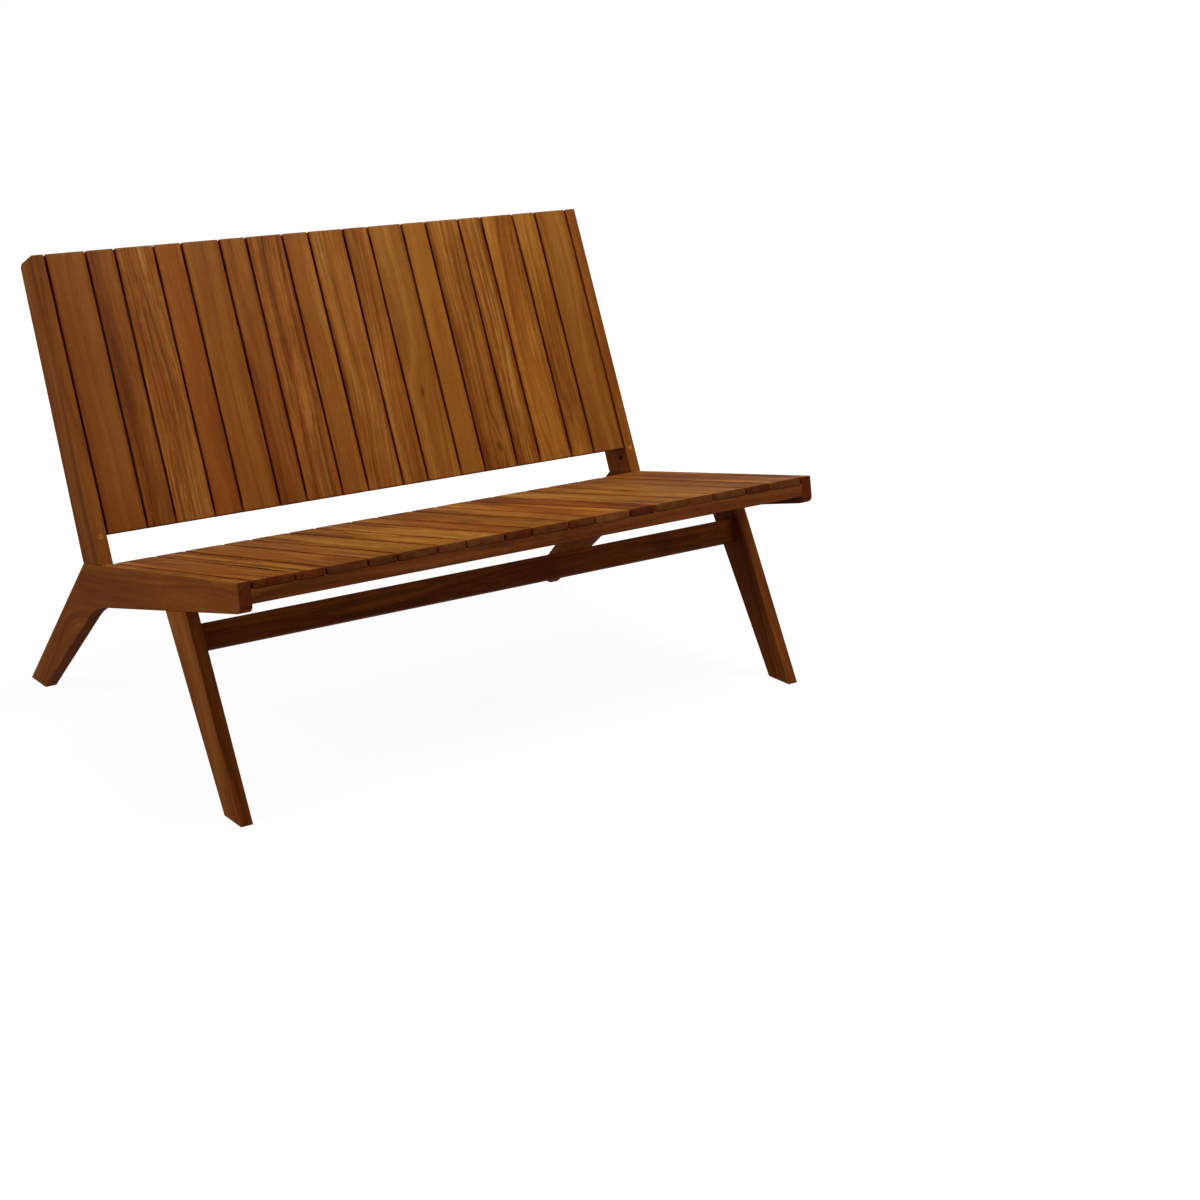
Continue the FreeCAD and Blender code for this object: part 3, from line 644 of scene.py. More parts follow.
def board_surface(low, high, shape, rng):
    """Points of a board from its lowest to its highest corner, as rings of a section.

    A ring is a rounded rectangle: each point is its place on the inner rectangle, half a side less the
    corner radius, plus the radius times the outward direction. The radius is the eased edge's, times one
    plus a smooth random run along each of the four edges. Over a quarter circle at both ends the ring
    shrinks by the end radius times one less the cosine, while it goes towards the end by the end radius
    times one less the sine. The faces rise by the crown times one less the square of the place across.
    The edge attribute goes from BEND_START to 1 over a bend with the outward direction across.
    """
    side, up, out_x, out_z, corner = board_section()
    corner = corner.astype(int)
    turn = np.linspace(np.pi / 2, 0, END_RINGS)
    near = shape.end_ease * (1 - np.sin(turn))
    shrink = shape.end_ease * (1 - np.cos(turn))
    length = high[1] - low[1]
    inner = np.linspace(EVEN_START, length - EVEN_START, int(length / RING_STEP))
    along = np.concatenate([near, inner, length - near[::-1]])
    inset = np.concatenate([shrink, np.zeros(len(inner)), shrink[::-1]])
    half_x, half_z = (high[0] - low[0]) / 2, (high[2] - low[2]) / 2
    wobble = np.stack([smooth_run(rng, len(along), WOBBLE_WIDTH) for _ in range(4)], axis=1)
    radius = shape.ease * (1 + shape.wear * wobble)[:, corner]
    radius = np.maximum(radius - inset[:, None], shape.ease * LEAST_RADIUS)
    reach_x = half_x - inset[:, None] - radius
    reach_z = half_z - inset[:, None] - radius
    x = side * reach_x + radius * out_x
    z = up * reach_z + radius * out_z
    z = z + np.sign(up) * (out_x == 0) * shape.crown * (1 - (x / half_x) ** 2)
    y = np.broadcast_to(along[:, None], x.shape)
    middle = (low + high) / 2
    grid = np.stack([x + middle[0], y + low[1], z + middle[2]], axis=-1)
    on_bend = np.abs(side * up) == 1
    edge = np.where(on_bend, BEND_START + (1 - BEND_START) * np.abs(out_x), np.abs(out_x))
    edge = np.where(np.abs(side) == FACE_STOPS[-1], MARGIN, edge)
    from_end = np.minimum(along, length - along)
    # the painted shade of the sides fades out towards the slat's ends
    edge = edge * np.clip(from_end / SIDE_FADE, END_SIDE_SHADE, 1)[:, None]
    return grid, edge


def slat_attributes(grid, edge, face_count, heart, tone, knot, greyness):
    """Attributes of a slat: its grain, its knot, its tone, its edges, which carry the wear, the painted
    highlight and the painted shade, and its sawn ends, which are the faces over the first and last
    END_RINGS rings and those that close them."""
    points = grid.reshape(-1, 3)
    count = len(points)
    rows, columns, _ = grid.shape
    row_of_face = np.arange((rows - 1) * columns) // columns
    ends = (row_of_face < END_RINGS - 1) | (row_of_face > rows - 1 - END_RINGS)
    end = np.concatenate([ends, np.ones(face_count - len(ends))]) * (1 + greyness)
    return (
        ("grain", "FLOAT_VECTOR", "POINT", points + heart),
        ("knot", "FLOAT_VECTOR", "POINT", points - knot),
        ("tone", "FLOAT_COLOR", "POINT", np.tile(np.append(tone, 1.0), (count, 1))),
        ("edge", "FLOAT", "POINT", edge.ravel()),
        ("end", "FLOAT", "FACE", end),
    )


def make_slats(name, turn_angle, tones, knots, seed):
    """Slats of the seat or of the back, each with wood of its own, in place of the frame's nodes."""
    shape = bpy.context.scene.bench_slats
    turn = turn_about_x(turn_angle)
    material = wood_material(
        f"{name} wood", from_attribute("grain", "Vector"), from_attribute("tone", "Color"),
        from_attribute("knot", "Vector"), from_attribute("edge", "Fac"), from_attribute("end", "Fac"))
    rng = np.random.default_rng(shape.seed + seed)
    for number in range(1, SLAT_COUNT + 1):
        node = f"{name}_{number:02d}"
        low, high = extent(node, turn)
        grid, edge = board_surface(low, high, shape, rng)
        points, faces = skin(grid)
        away = rng.uniform(HEART_NEAR, HEART_FAR)
        bearing = rng.uniform(0, 2 * np.pi)
        heart = np.array([away * np.cos(bearing), rng.uniform(0, TRUNK), away * np.sin(bearing)])
        heart[[0, 2]] -= ((low + high) / 2)[[0, 2]]
        knot = np.array(FAR)
        if number in knots:
            across, along = knots[number]
            knot = np.array([low[0] + across, low[1] + along, high[2] - KNOT_DEPTH])
        attributes = slat_attributes(grid, edge, len(faces), heart, tones[number - 1], knot,
                                     rng.uniform(0, 1))
        make_piece(f"{node}_board", points @ turn.T, faces, material, [node], attributes)


# Warmth, in steps of 0.05, lightness, in steps of 0.025, and strength of the streaks of the slats, from
# the left
SEAT_TONES = (
    (0.35, 0.500, 1.0), (0.15, 0.600, 1.3), (0.40, 0.475, 1.0), (0.50, 0.400, 1.2),
    (0.05, 0.550, 1.0), (0.00, 0.625, 1.2), (0.10, 0.575, 1.3), (0.40, 0.450, 1.0),
    (0.05, 0.600, 1.0), (0.20, 0.525, 1.1), (0.00, 0.775, 0.9), (0.85, 0.350, 1.3),
    (0.00, 0.600, 1.1), (0.00, 0.650, 1.2), (0.15, 0.525, 1.3), (0.40, 0.400, 1.1),
    (0.10, 0.600, 1.0),
)
BACK_TONES = (
    (0.50, 0.425, 0.1), (0.50, 0.400, 0.6), (0.40, 0.500, 1.0), (0.50, 0.500, 0.3),
    (0.25, 0.500, 0.2), (0.50, 0.425, 0.5), (0.45, 0.475, 0.9), (0.30, 0.500, 0.3),
    (0.30, 0.500, 0.7), (0.20, 0.550, 0.6), (0.10, 0.525, 0.3), (0.00, 0.625, 0.2),
    (0.20, 0.525, 0.8), (0.15, 0.575, 1.0), (0.05, 0.650, 0.6), (0.00, 0.600, 0.7),
    (0.20, 0.475, 0.3),
)
# slats of the back that have a knot, and its place across and along them
BACK_KNOTS = {11: (0.030, 0.16), 13: (0.040, 0.04)}
# what the seat and the back add to the seed, so that their wood differs
SEAT_SEED, BACK_SEED = 0, 100


class BENCH_OT_seat_slats(bpy.types.Operator):
    """Make the seat's slats"""

    bl_idname = "bench.seat_slats"
    bl_label = "Seat Slats"

    def execute(self, context):
        make_slats("seat_slat", SEAT_TURN, SEAT_TONES, {}, SEAT_SEED)
        return {"FINISHED"}


class BENCH_OT_back_slats(bpy.types.Operator):
    """Make the back's slats"""

    bl_idname = "bench.back_slats"
    bl_label = "Back Slats"

    def execute(self, context):
        make_slats("back_slat", BACK_TURN, BACK_TONES, BACK_KNOTS, BACK_SEED)
        return {"FINISHED"}


# Boards that keep their shape

# warmth, lightness and streaks
FRAME_TONE = (0.50, 0.455, 0.35)
LEG_TONE = (0.80, 0.49, 0.6)
POST_TONE = (0.46, 0.438, 0.35)
BEARER_TONE = (1.0, 0.37, 0.8)
BACK_RAIL_TONE = (0.21, 0.42, 0.3)
STRETCHER_TONE = (0.96, 0.5, 0.7)
# forwards and down, as the front edges of the rear legs face
UNDER = (0, -0.6, -0.8)
# cosines between which a face starts to count as facing up, sideways or forwards and down
FACING_UP, FACING_SIDE, FACING_UNDER = (0.85, 0.98), (0.5, 0.9), (0.3, 0.8)
# painted light and shade: what the tops, the inner faces and the front edges of the side frames, the outer
# faces of the front legs and the inner faces of the posts add to their tones. The tops are painted lighter
# and cooler, with stronger streaks, the front edges lighter and redder, the inner faces darker and redder,
# and the legs' outer faces cooler
FRAME_TOP_LIGHT, FRAME_INSIDE_SHADE, FRAME_UNDER_LIGHT = (-0.42, 0.075, 0.7), (0.30, -0.13, 0.0), (0.50, 0.18, 0.0)
LEG_OUTSIDE_LIGHT, POST_INSIDE_SHADE = (-0.33, 0.0, -0.2), (0.45, -0.02, 0.0)
# how far the heart of the tree lies from the boards of the right side, across and deep, and from the
# crosspieces
FRAME_HEART, LEG_HEART, POST_HEART = (0.055, 0.02), (0.03, 0.04), (0.05, 0.03)
BEARER_HEARTS = {"front": (0.03, 0.02), "middle": (0.05, 0.02), "rear": (-0.04, 0.02)}
BACK_RAIL_HEARTS = {"bottom": (0.04, -0.02), "middle": (-0.03, -0.02), "top": (0.05, -0.02)}
STRETCHER_HEART = (0.05, 0.03)
# distance along the seat rail from its nose to the heel, how round the grain's corner at the heel is, and
# how far each side of it the grain turns into the leg
RAIL_RUN, GRAIN_ROUNDING, GRAIN_TURN = 0.525, 0.05, 0.03
# cosines between which a face starts to count as the nose of the seat rail, or as the sole of the foot
NOSE_FACING, SOLE_FACING = (0.80, 0.95), (0.99, 0.999)


def dress(node, material):
    """Gives a node of the frame a material."""
    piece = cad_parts[node]
    for place in piece.material_slots:
        place.material = material


def faced_tone(plain, *faces):
    """Source of a tone that differs between faces, which paints light and shade by the way a face is
    turned.
    plain is its warmth, lightness and streaks, and each of faces is a direction, the cosines between which
    a face starts to count as facing that way, and what it adds to the three."""
    def source(tree):
        tone = plain
        for direction, limits, changes in faces:
            part = band(tree, facing(tree, direction), *limits)
            tone = [calc(tree, "MULTIPLY_ADD", part, change, start) for change, start in zip(changes, tone)]
        return join(tree, *tone)
    return source


def dress_board(node, turn, tone, heart, crosswise=False):
    """Gives a straight board of the frame wood that runs along it."""
    low, high = (np.array(corner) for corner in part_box(node))
    grain = straight_grain(turn, tuple((low + high) / 2), heart, crosswise)
    dress(node, wood_material(f"{node} wood", grain, tone, end=sawn_end(turn, crosswise)))


def bent_grain(place, heel, heart):
    """Source of the grain of a side frame. It follows the seat rail's top and the rear leg's back: the
    depth under either is negative, and the greater of the two, smoothed, is the place across. The place
    along is the rail's up to the heel, and from there RAIL_RUN more than the leg's."""
    def source(tree):
        _, rail_y, rail_z = split(tree, own_axes(tree, SEAT_TURN, place))
        _, leg_y, leg_z = split(tree, own_axes(tree, REAR_LEG_TURN, heel))
        x = split(tree, coordinate(tree, "Object"))[0]
        across = calc(tree, "SMOOTH_MAX", rail_z, leg_z, GRAIN_ROUNDING)
        on_leg = band(tree, calc(tree, "SUBTRACT", leg_z, rail_z), -GRAIN_TURN, GRAIN_TURN)
        past = calc(tree, "SUBTRACT", calc(tree, "ADD", leg_y, RAIL_RUN), rail_y)
        along = calc(tree, "MULTIPLY_ADD", on_leg, past, rail_y)
        deep = calc(tree, "SUBTRACT", x, place[0])
        return join(tree, calc(tree, "ADD", across, heart[0]), along, calc(tree, "ADD", deep, heart[1]))
    return source


def frame_ends(tree):
    """END_TONE on the nose of the seat rail and under the rear foot, where a side frame is cut across."""
    forwards = tuple(-turn_about_x(SEAT_TURN)[:, 1])
    nose = band(tree, facing(tree, forwards), *NOSE_FACING, 0.0, END_TONE)
    sole = band(tree, facing(tree, (0, 0, -1)), *SOLE_FACING, 0.0, END_TONE)
    return calc(tree, "MAXIMUM", nose, sole)


class BENCH_OT_side_frames(bpy.types.Operator):
    """Finish the side frames, the front legs and the posts"""

    bl_idname = "bench.side_frames"
    bl_label = "Side Frames, Legs and Posts"

    def execute(self, context):
        turn = turn_about_x(SEAT_TURN)
        upward = tuple(turn[:, 2])
        for side, sign in SIDES:
            low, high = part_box(f"side_frame_{side}")
            rail_low, rail_high = extent(f"side_frame_{side}", turn)
            _, post_high = extent(f"back_post_{side}", turn)
            middle = (low.x + high.x) / 2
            nose = turn @ np.array([middle, rail_low[1], rail_high[2]])
            heel = turn @ np.array([middle, post_high[1], rail_high[2]])
            outward, inward = (sign, 0, 0), (-sign, 0, 0)
            frame_heart, leg_heart, post_heart = (
                (across, sign * deep) for across, deep in (FRAME_HEART, LEG_HEART, POST_HEART))
            # painted light and shade: the frame's top, inner face and front edges differ in tone by how
            # they face
            frame_tone = faced_tone(
                FRAME_TONE, (upward, FACING_UP, FRAME_TOP_LIGHT), (inward, FACING_SIDE, FRAME_INSIDE_SHADE),
                (UNDER, FACING_UNDER, FRAME_UNDER_LIGHT))
            grain = bent_grain(tuple(nose), tuple(heel), frame_heart)
            material = wood_material(f"side frame {side} wood", grain, frame_tone, end=frame_ends)
            dress(f"side_frame_{side}", material)
            # painted light and shade: the legs' outer faces and the posts' inner faces differ in tone by
            # how they face
            leg_tone = faced_tone(LEG_TONE, (outward, FACING_SIDE, LEG_OUTSIDE_LIGHT))
            dress_board(f"front_leg_{side}", FRONT_LEG_TURN, leg_tone, leg_heart)
            post_tone = faced_tone(POST_TONE, (inward, FACING_SIDE, POST_INSIDE_SHADE))
            dress_board(f"back_post_{side}", BACK_TURN, post_tone, post_heart)
        return {"FINISHED"}


class BENCH_OT_crosspieces(bpy.types.Operator):
    """Finish the bearers, the back rails and the stretcher"""

    bl_idname = "bench.crosspieces"
    bl_label = "Bearers, Rails and Stretcher"

    def execute(self, context):
        for place, heart in BEARER_HEARTS.items():
            dress_board(f"seat_bearer_{place}", SEAT_TURN, BEARER_TONE, heart, True)
        for place, heart in BACK_RAIL_HEARTS.items():
            dress_board(f"back_rail_{place}", BACK_TURN, BACK_RAIL_TONE, heart, True)
        dress_board("leg_stretcher", STRETCHER_TURN, STRETCHER_TONE, STRETCHER_HEART, True)
        return {"FINISHED"}


# Screws, plugs, nuts and bolts

# colour and roughness of the steel of the screws and of the bolts
SCREW_STEEL = ((0.62, 0.62, 0.60), 0.30)
BOLT_STEEL = ((0.09, 0.087, 0.084), 0.4)
# waves per metre, detail and roughness of the clouds and scratches on steel
STEEL_CLOUDS = ((420, 420, 420), 3, 0.6)
STEEL_SCRATCHES = ((3000, 260, 3000), 2, 0.5)
CLOUD_LIMITS = (0.35, 0.65)
# share of the colour that a cloud leaves, and what the scratches add to the roughness
CLOUD_SHARE, SCRATCH_ROUGHNESS = 0.62, 0.25
# tones of the plugs and dowels, and how far the heart of their tree lies from the bench's origin
PLUG_TONE, DOWEL_TONE = (0.0, 0.76, 0.0), (0.0, 0.98, 0.0)
ORIGIN, ROUND_HEART = (0, 0, 0), (0.02, 0.03)

SCREW_SIDES, PLUG_SIDES, BOLT_SIDES = 16, 32, 24
# radii of the rings in a screw's recess, the rounding of its rim, the height at which its cone ends, and
# its point
RECESS_RADII = (0.00015, 0.0009, 0.0018, 0.0026)
SCREW_RIM, CONE_END = 0.0003, 0.0025
POINT_RADIUS, POINT_LENGTH = 0.0002, 0.003
# depth between the arms of the cross and of its outer ring, as shares of the recess depth
CROSS_FLOOR, CROSS_END = 0.35, 0.8
# rounding of a plug's rim, across and down, and the rings of its dome as shares of its radius and rise
PLUG_RIM, PLUG_RIM_DROP = 0.0003, 0.0002
DOME_RADII, DOME_START = (0.6, 0.2), 0.4
# bevel of the nuts and bolts, how deep the nuts lie in the posts, and the slots in their ends
BEVEL = 0.0006
NUT_SUNK, SLOT_DEPTH, SLOT_RADII = 0.005, 0.003, (0.55, 0.15)
# socket, head, shank and tip of a bolt, in metres
SOCKET_POLE, SOCKET_RADIUS, SOCKET_DEPTH = 0.0002, 0.0026, 0.003
HEAD_HEIGHT, SHANK_RADIUS = 0.006, 0.003
TIP_RADIUS, TIP_LENGTH = 0.0024, 0.0008


def revolve(radii, heights, sides, sink=0.0):
    """Rings around Z: each point is its radius times the cosine and sine of its angle, at its height.
    sink, rings by sides, is added to the heights to sink a recess."""
    angle = np.linspace(0, 2 * np.pi, sides, endpoint=False)
    radius, height = np.array(radii)[:, None], np.array(heights)[:, None]
    z = np.broadcast_to(height + sink, (len(radii), sides))
    return np.stack([radius * np.cos(angle), radius * np.sin(angle), z], axis=-1)


def placed_copies(points, faces, places, turn):
    """Points and faces of one shape repeated at places of turned axes."""
    every = (points + np.array(places)[:, None]) @ turn.T
    starts = len(points) * np.arange(len(places))
    return every.reshape(-1, 3), [(start + np.array(face)).tolist() for start in starts for face in faces]


def steel_material(name, tint, roughness):
    """Zinc-plated steel with a faint cloudy sheen and fine scratches, from the place on the bench."""
    material, tree, shader = new_material(name)
    feed(tree, shader.inputs["Metallic"], 1.0)
    place = coordinate(tree, "Object")
    cloud = band(tree, noise(tree, place, *STEEL_CLOUDS), *CLOUD_LIMITS)
    scratches = noise(tree, place, *STEEL_SCRATCHES)
    dull = tuple(channel * CLOUD_SHARE for channel in tint)
    feed(tree, shader.inputs["Base Color"], blend_colours(tree, cloud, colour(tint), colour(dull)))
    feed(tree, shader.inputs["Roughness"], rising(tree, scratches, (roughness, SCRATCH_ROUGHNESS)))
    return material


def screw_shape(shape, length):
    """Countersunk screw whose head lies at height 0 and whose point is length above it.

    Its outline runs from the middle of the head over the rim, down the cone and along the shank to the
    point. The recess is a cross of four arms. The first ring sinks by all of the recess depth, the second
    by all of it in the arms and CROSS_FLOOR of it between them, and the third by CROSS_END of it in the
    arms only.
    """
    head, shank, deep = shape.head_radius, shape.shank_radius, shape.recess
    radii = [*RECESS_RADII, head - SCREW_RIM, head, shank, shank, POINT_RADIUS]
    heights = [0, 0, 0, 0, 0, SCREW_RIM, CONE_END, length - POINT_LENGTH, length]
    arms = (np.arange(SCREW_SIDES) % (SCREW_SIDES // 4) == 0).astype(float)
    sink = np.zeros((len(radii), SCREW_SIDES))
    sink[0] = deep
    sink[1] = deep * (CROSS_FLOOR + (1 - CROSS_FLOOR) * arms)
    sink[2] = deep * CROSS_END * arms
    return skin(revolve(radii, heights, SCREW_SIDES, sink))


def screw_row(name, rails, slats, turn_angle, material):
    """Screws of the seat or the back, one for each slat at each rail, in place of their node."""
    shape = bpy.context.scene.bench_fasteners
    turn = turn_about_x(turn_angle)
    middles = [sum(extent(f"{slats}_{number:02d}", turn))[0] / 2 for number in range(1, SLAT_COUNT + 1)]
    places = []
    for rail in rails:
        low, high = extent(rail, turn)
        places += [(x, (low[1] + high[1]) / 2, low[2]) for x in middles]
    low, high = extent(name, turn)
    points, faces = screw_shape(shape, high[2] - low[2])
    points, faces = placed_copies(points, faces, places, turn)
    make_piece(f"{name}_heads", points, faces, material, [name])


class BENCH_OT_screws(bpy.types.Operator):
    """Make the screws that hold the slats"""

    bl_idname = "bench.screws"
    bl_label = "Slat Screws"

    def execute(self, context):
        steel = steel_material("zinc screw steel", *SCREW_STEEL)
        screw_row("seat_slat_screws", [f"seat_bearer_{place}" for place in BEARER_HEARTS],
                  "seat_slat", SEAT_TURN, steel)
        screw_row("back_slat_screws", [f"back_rail_{place}" for place in BACK_RAIL_HEARTS],
                  "back_slat", BACK_TURN, steel)
        dress("post_cross_screws", steel)
        return {"FINISHED"}


class BENCH_OT_plugs(bpy.types.Operator):
    """Make the wood plugs in the fronts of the posts"""

    bl_idname = "bench.plugs"
    bl_label = "Post Plugs"

    def execute(self, context):
        shape = context.scene.bench_fasteners
        turn = turn_about_x(BACK_TURN)
        low, high = extent("post_plugs", turn)
        radius = (high[1] - low[1]) / 2
        rise = shape.plug_dome
        radii = [radius, radius, radius - PLUG_RIM, *(radius * share for share in DOME_RADII)]
        heights = [low[2], *(high[2] + step for step in (-PLUG_RIM_DROP, rise * DOME_START, rise, rise))]
        points, faces = skin(revolve(radii, heights, PLUG_SIDES))
        places = [(sign * (high[0] - radius), (low[1] + high[1]) / 2, 0) for _, sign in SIDES]
        points, faces = placed_copies(points, faces, places, turn)
        grain = straight_grain(BACK_TURN, ORIGIN, ROUND_HEART, True)
        wood = wood_material("plug wood", grain, PLUG_TONE)
        make_piece("post_plug_pair", points, faces, wood, ["post_plugs"])
        return {"FINISHED"}


class BENCH_OT_bolts(bpy.types.Operator):
    """Make the cross nuts in the posts and the bolts under them"""

    bl_idname = "bench.bolts"
    bl_label = "Bolts and Cross Nuts"

    def execute(self, context):
        steel = steel_material("dark bolt steel", *BOLT_STEEL)
        self.make_nuts(steel)
        self.make_bolts(steel)
        return {"FINISHED"}

    def make_nuts(self, steel):
        """Barrels whose slotted ends lie NUT_SUNK under the inner faces of the posts. Each is an outline
        of radii and heights turned about X, and the rings in its middle are sunk along a slot."""
        turn = turn_about_x(SEAT_TURN)
        low, high = extent("post_cross_nuts", turn)
        radius = (high[1] - low[1]) / 2
        length = high[0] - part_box("back_post_right")[0].x
        radii = [radius, radius, radius - BEVEL, *(radius * share for share in SLOT_RADII)]
        end = length - NUT_SUNK
        heights = [0.0, end - BEVEL, end, end, end]
        sink = np.zeros((len(radii), BOLT_SIDES))
        slot = np.arange(BOLT_SIDES) % (BOLT_SIDES // 2) == 0
        sink[3] = -SLOT_DEPTH * slot
        sink[4] = -SLOT_DEPTH
        points, faces = skin(revolve(radii, heights, BOLT_SIDES, sink))
        middle = np.array([0, (low[1] + high[1]) / 2, (low[2] + high[2]) / 2])
        parts, shells = [], []
        for number, (_, sign) in enumerate(SIDES):
            turned = np.stack([sign * (high[0] - points[:, 2]), points[:, 0], points[:, 1]], axis=-1)
            parts.append(turned + middle)
            # the right one comes out mirrored, so its faces run the other way round
            shells += [(np.array(face[::-sign]) + number * len(points)).tolist() for face in faces]
        make_piece("post_nut_pair", np.concatenate(parts) @ turn.T, shells, steel,
                   ["post_cross_nuts"])

    def make_bolts(self, steel):
        """Bolts with round sockets in their heads, which stand square to the seat. Each is an outline of
        radii and heights turned about its axis."""
        turn = turn_about_x(SEAT_TURN)
        low, high = extent("post_bolts", turn)
        radius = (high[1] - low[1]) / 2
        length = high[2] - low[2]
        radii = [SOCKET_POLE, SOCKET_RADIUS, SOCKET_RADIUS, radius - BEVEL, radius, radius, SHANK_RADIUS,
                 SHANK_RADIUS, TIP_RADIUS]
        heights = [SOCKET_DEPTH, SOCKET_DEPTH, 0.0, 0.0, BEVEL, HEAD_HEIGHT, HEAD_HEIGHT,
                   length - TIP_LENGTH, length]
        points, faces = skin(revolve(radii, heights, BOLT_SIDES))
        places = [(sign * (high[0] - radius), (low[1] + high[1]) / 2, low[2]) for _, sign in SIDES]
        points, faces = placed_copies(points, faces, places, turn)
        make_piece("post_bolt_pair", points, faces, steel, ["post_bolts"])


class BENCH_OT_dowels(bpy.types.Operator):
    """Finish the dowels in pale beech"""

    bl_idname = "bench.dowels"
    bl_label = "Dowels"

    def execute(self, context):
        grain = straight_grain(0, ORIGIN, ROUND_HEART, True)
        beech = wood_material("dowel wood", grain, DOWEL_TONE)
        for node in ("seat_bearer_dowels", "back_rail_dowels", "stretcher_dowels", "leg_dowels",
                     "post_dowels"):
            dress(node, beech)
        return {"FINISHED"}


# Studio

# place, angles in degrees and shift of the camera, width of its picture in millimetres and where its view
# ends
CAMERA_PLACE = (-1.94828, -2.85223, 1.30236)
CAMERA_TURN = (73.7819, -0.6241, -34.1029)
CAMERA_SHIFT = (0.15293, -0.06801)
SENSOR_WIDTH, VIEW_END = 36, 200
# half the floor's side, the distances between which its glow rises, and its roughness
FLOOR_REACH, GLOW_NEAR, GLOW_FAR, FLOOR_ROUGHNESS = 60.0, 0.7, 1.6, 0.9
# heights of a direction between which the low ambient light gives way to the high one
HORIZON = (-0.05, 0.5)
LIGHT_TINT = (1, 0.98, 0.95)
# place, aim and size of each light, and whether it shows in gloss
LIGHTS = {
    "key": ((0.8, -0.3, 2.6), (0, 0, 0.3), 1.6, True),
    "over": ((-0.3, -0.8, 3.2), (0, 0, 0.3), 2.2, True),
    "side": ((-3.2, 0.8, 1.6), (0, 0, 0.4), 2.0, True),
    "low": ((-3.2, -0.6, 0.9), (0, 0, 0.4), 1.6, True),
    "front": ((2.2, -3.0, 0.9), (0, 0, 0.3), 1.6, True),
    "rear": ((3.0, 1.4, 1.0), (0, 0, 0.35), 1.2, True),
    "behind": ((0.4, 3.4, 0.7), (0, 0.2, 0.45), 1.8, False),
}


def area_light(name, place, aim, size, power, in_gloss):
    """Square light at a place, turned to a point."""
    light = bpy.data.lights.new(name, "AREA")
    light.size = size
    light.energy = power
    light.color = LIGHT_TINT
    lamp = new_object(name, light)
    lamp.location = place
    lamp.rotation_mode = "QUATERNION"
    lamp.rotation_quaternion = Vector(np.subtract(aim, place)).to_track_quat("-Z", "Y")
    lamp.visible_camera = False
    lamp.visible_glossy = in_gloss


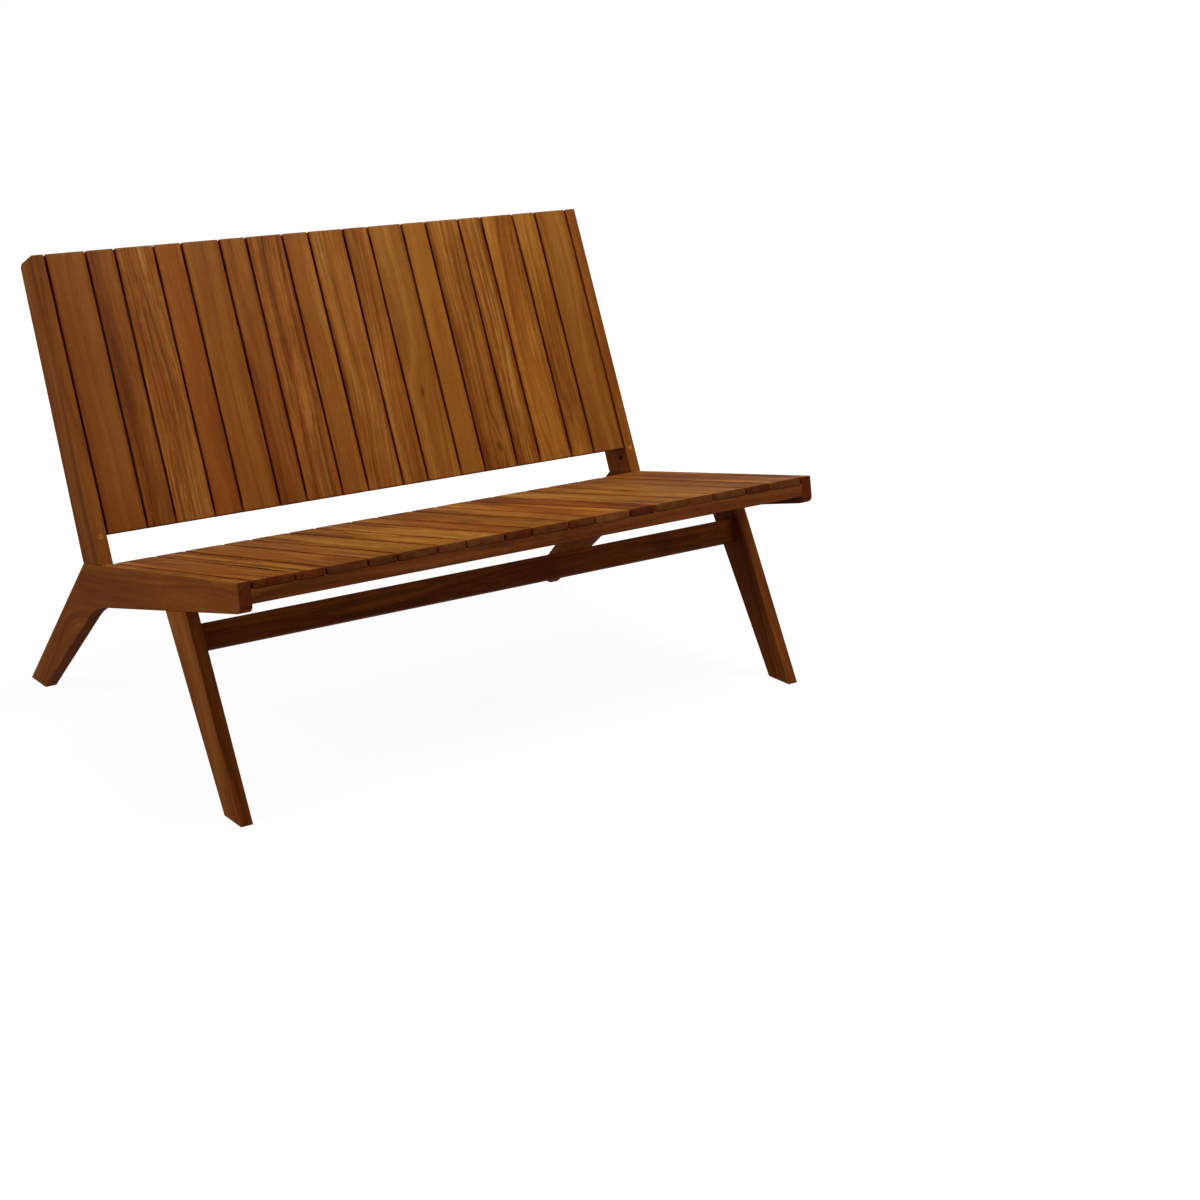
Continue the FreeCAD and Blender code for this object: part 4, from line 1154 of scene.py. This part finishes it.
class BENCH_OT_studio(bpy.types.Operator):
    """Set up the floor, the lights and the camera"""

    bl_idname = "bench.studio"
    bl_label = "Studio"

    def execute(self, context):
        setup = context.scene.bench_studio
        self.make_floor(setup)
        self.make_room(setup)
        for name, (place, aim, size, in_gloss) in LIGHTS.items():
            area_light(f"{name} light", place, aim, size, getattr(setup, name), in_gloss)
        self.make_camera(setup)
        context.scene.view_settings.view_transform = "Standard"
        return {"FINISHED"}

    def make_floor(self, setup):
        """Pale matt floor that glows a little less under the bench than away from it. It takes shadows,
        but throws no light up onto the bench."""
        reach = FLOOR_REACH
        mesh = bpy.data.meshes.new("floor")
        corners = [(-reach, -reach, 0), (reach, -reach, 0), (reach, reach, 0), (-reach, reach, 0)]
        mesh.from_pydata(corners, [], [(0, 1, 2, 3)])
        material, tree, shader = new_material("pale floor")
        feed(tree, shader.inputs["Base Color"], colour(setup.floor))
        feed(tree, shader.inputs["Roughness"], FLOOR_ROUGHNESS)
        feed(tree, shader.inputs["Emission Color"], (1, 1, 1, 1))
        away = vector_calc(tree, "LENGTH", coordinate(tree, "Object"))
        glow = band(tree, away, GLOW_NEAR, GLOW_FAR, setup.near_glow, setup.far_glow)
        feed(tree, shader.inputs["Emission Strength"], glow)
        mesh.materials.append(material)
        floor = new_object("floor", mesh)
        floor.visible_diffuse = False
        floor.visible_glossy = False

    def make_room(self, setup):
        """Soft light, stronger from low down than from above, and a backdrop that only the camera sees."""
        world = bpy.data.worlds.new("studio room")
        world.use_nodes = True
        tree = world.node_tree
        background = tree.nodes["Background"]
        up = split(tree, coordinate(tree, "Generated"))[2]
        light = blend_colours(tree, band(tree, up, *HORIZON), colour(setup.dusk), colour(setup.sky))
        seen = add_node(tree, "ShaderNodeLightPath").outputs["Is Camera Ray"]
        feed(tree, background.inputs["Color"], blend_colours(tree, seen, light, colour(setup.backdrop)))
        bpy.context.scene.world = world

    def make_camera(self, setup):
        """Camera at the photograph's place and angle."""
        data = bpy.data.cameras.new("camera")
        data.sensor_width = SENSOR_WIDTH
        data.lens = setup.lens
        data.shift_x, data.shift_y = CAMERA_SHIFT
        data.clip_end = VIEW_END
        camera = new_object("camera", data)
        camera.location = CAMERA_PLACE
        camera.rotation_euler = np.radians(CAMERA_TURN)
        bpy.context.scene.camera = camera


# Panel and registration

OPERATORS = (
    BENCH_OT_seat_slats,
    BENCH_OT_back_slats,
    BENCH_OT_side_frames,
    BENCH_OT_crosspieces,
    BENCH_OT_screws,
    BENCH_OT_plugs,
    BENCH_OT_bolts,
    BENCH_OT_dowels,
    BENCH_OT_studio,
)
SETTINGS = (
    ("bench_wood", WoodFinish),
    ("bench_slats", SlatShape),
    ("bench_fasteners", FastenerShape),
    ("bench_studio", StudioSetup),
)


class BENCH_PT_panel(bpy.types.Panel):
    """Sizes, colours and steps of the bench"""

    bl_idname = "BENCH_PT_panel"
    bl_label = "Slatted Bench"
    bl_space_type = "VIEW_3D"
    bl_region_type = "UI"
    bl_category = "Bench"

    def draw(self, context):
        for label, group in SETTINGS:
            box = self.layout.box()
            settings = getattr(context.scene, label)
            for name in group.__annotations__:
                box.prop(settings, name)
        for operator in OPERATORS:
            self.layout.operator(operator.bl_idname)


CLASSES = (*(group for _, group in SETTINGS), *OPERATORS, BENCH_PT_panel)


def register():
    """Makes the settings, the operators and the panel known to Blender."""
    for item in CLASSES:
        bpy.utils.register_class(item)
    for label, group in SETTINGS:
        setattr(bpy.types.Scene, label, PointerProperty(type=group))


def unregister():
    """Takes the settings, the operators and the panel away again."""
    for label, _ in SETTINGS:
        delattr(bpy.types.Scene, label)
    for item in reversed(CLASSES):
        bpy.utils.unregister_class(item)


def main():
    """Makes the bench and its studio."""
    register()
    bpy.ops.bench.seat_slats()
    bpy.ops.bench.back_slats()
    bpy.ops.bench.side_frames()
    bpy.ops.bench.crosspieces()
    bpy.ops.bench.screws()
    bpy.ops.bench.plugs()
    bpy.ops.bench.bolts()
    bpy.ops.bench.dowels()
    bpy.ops.bench.studio()


if __name__ == "__main__":
    main()
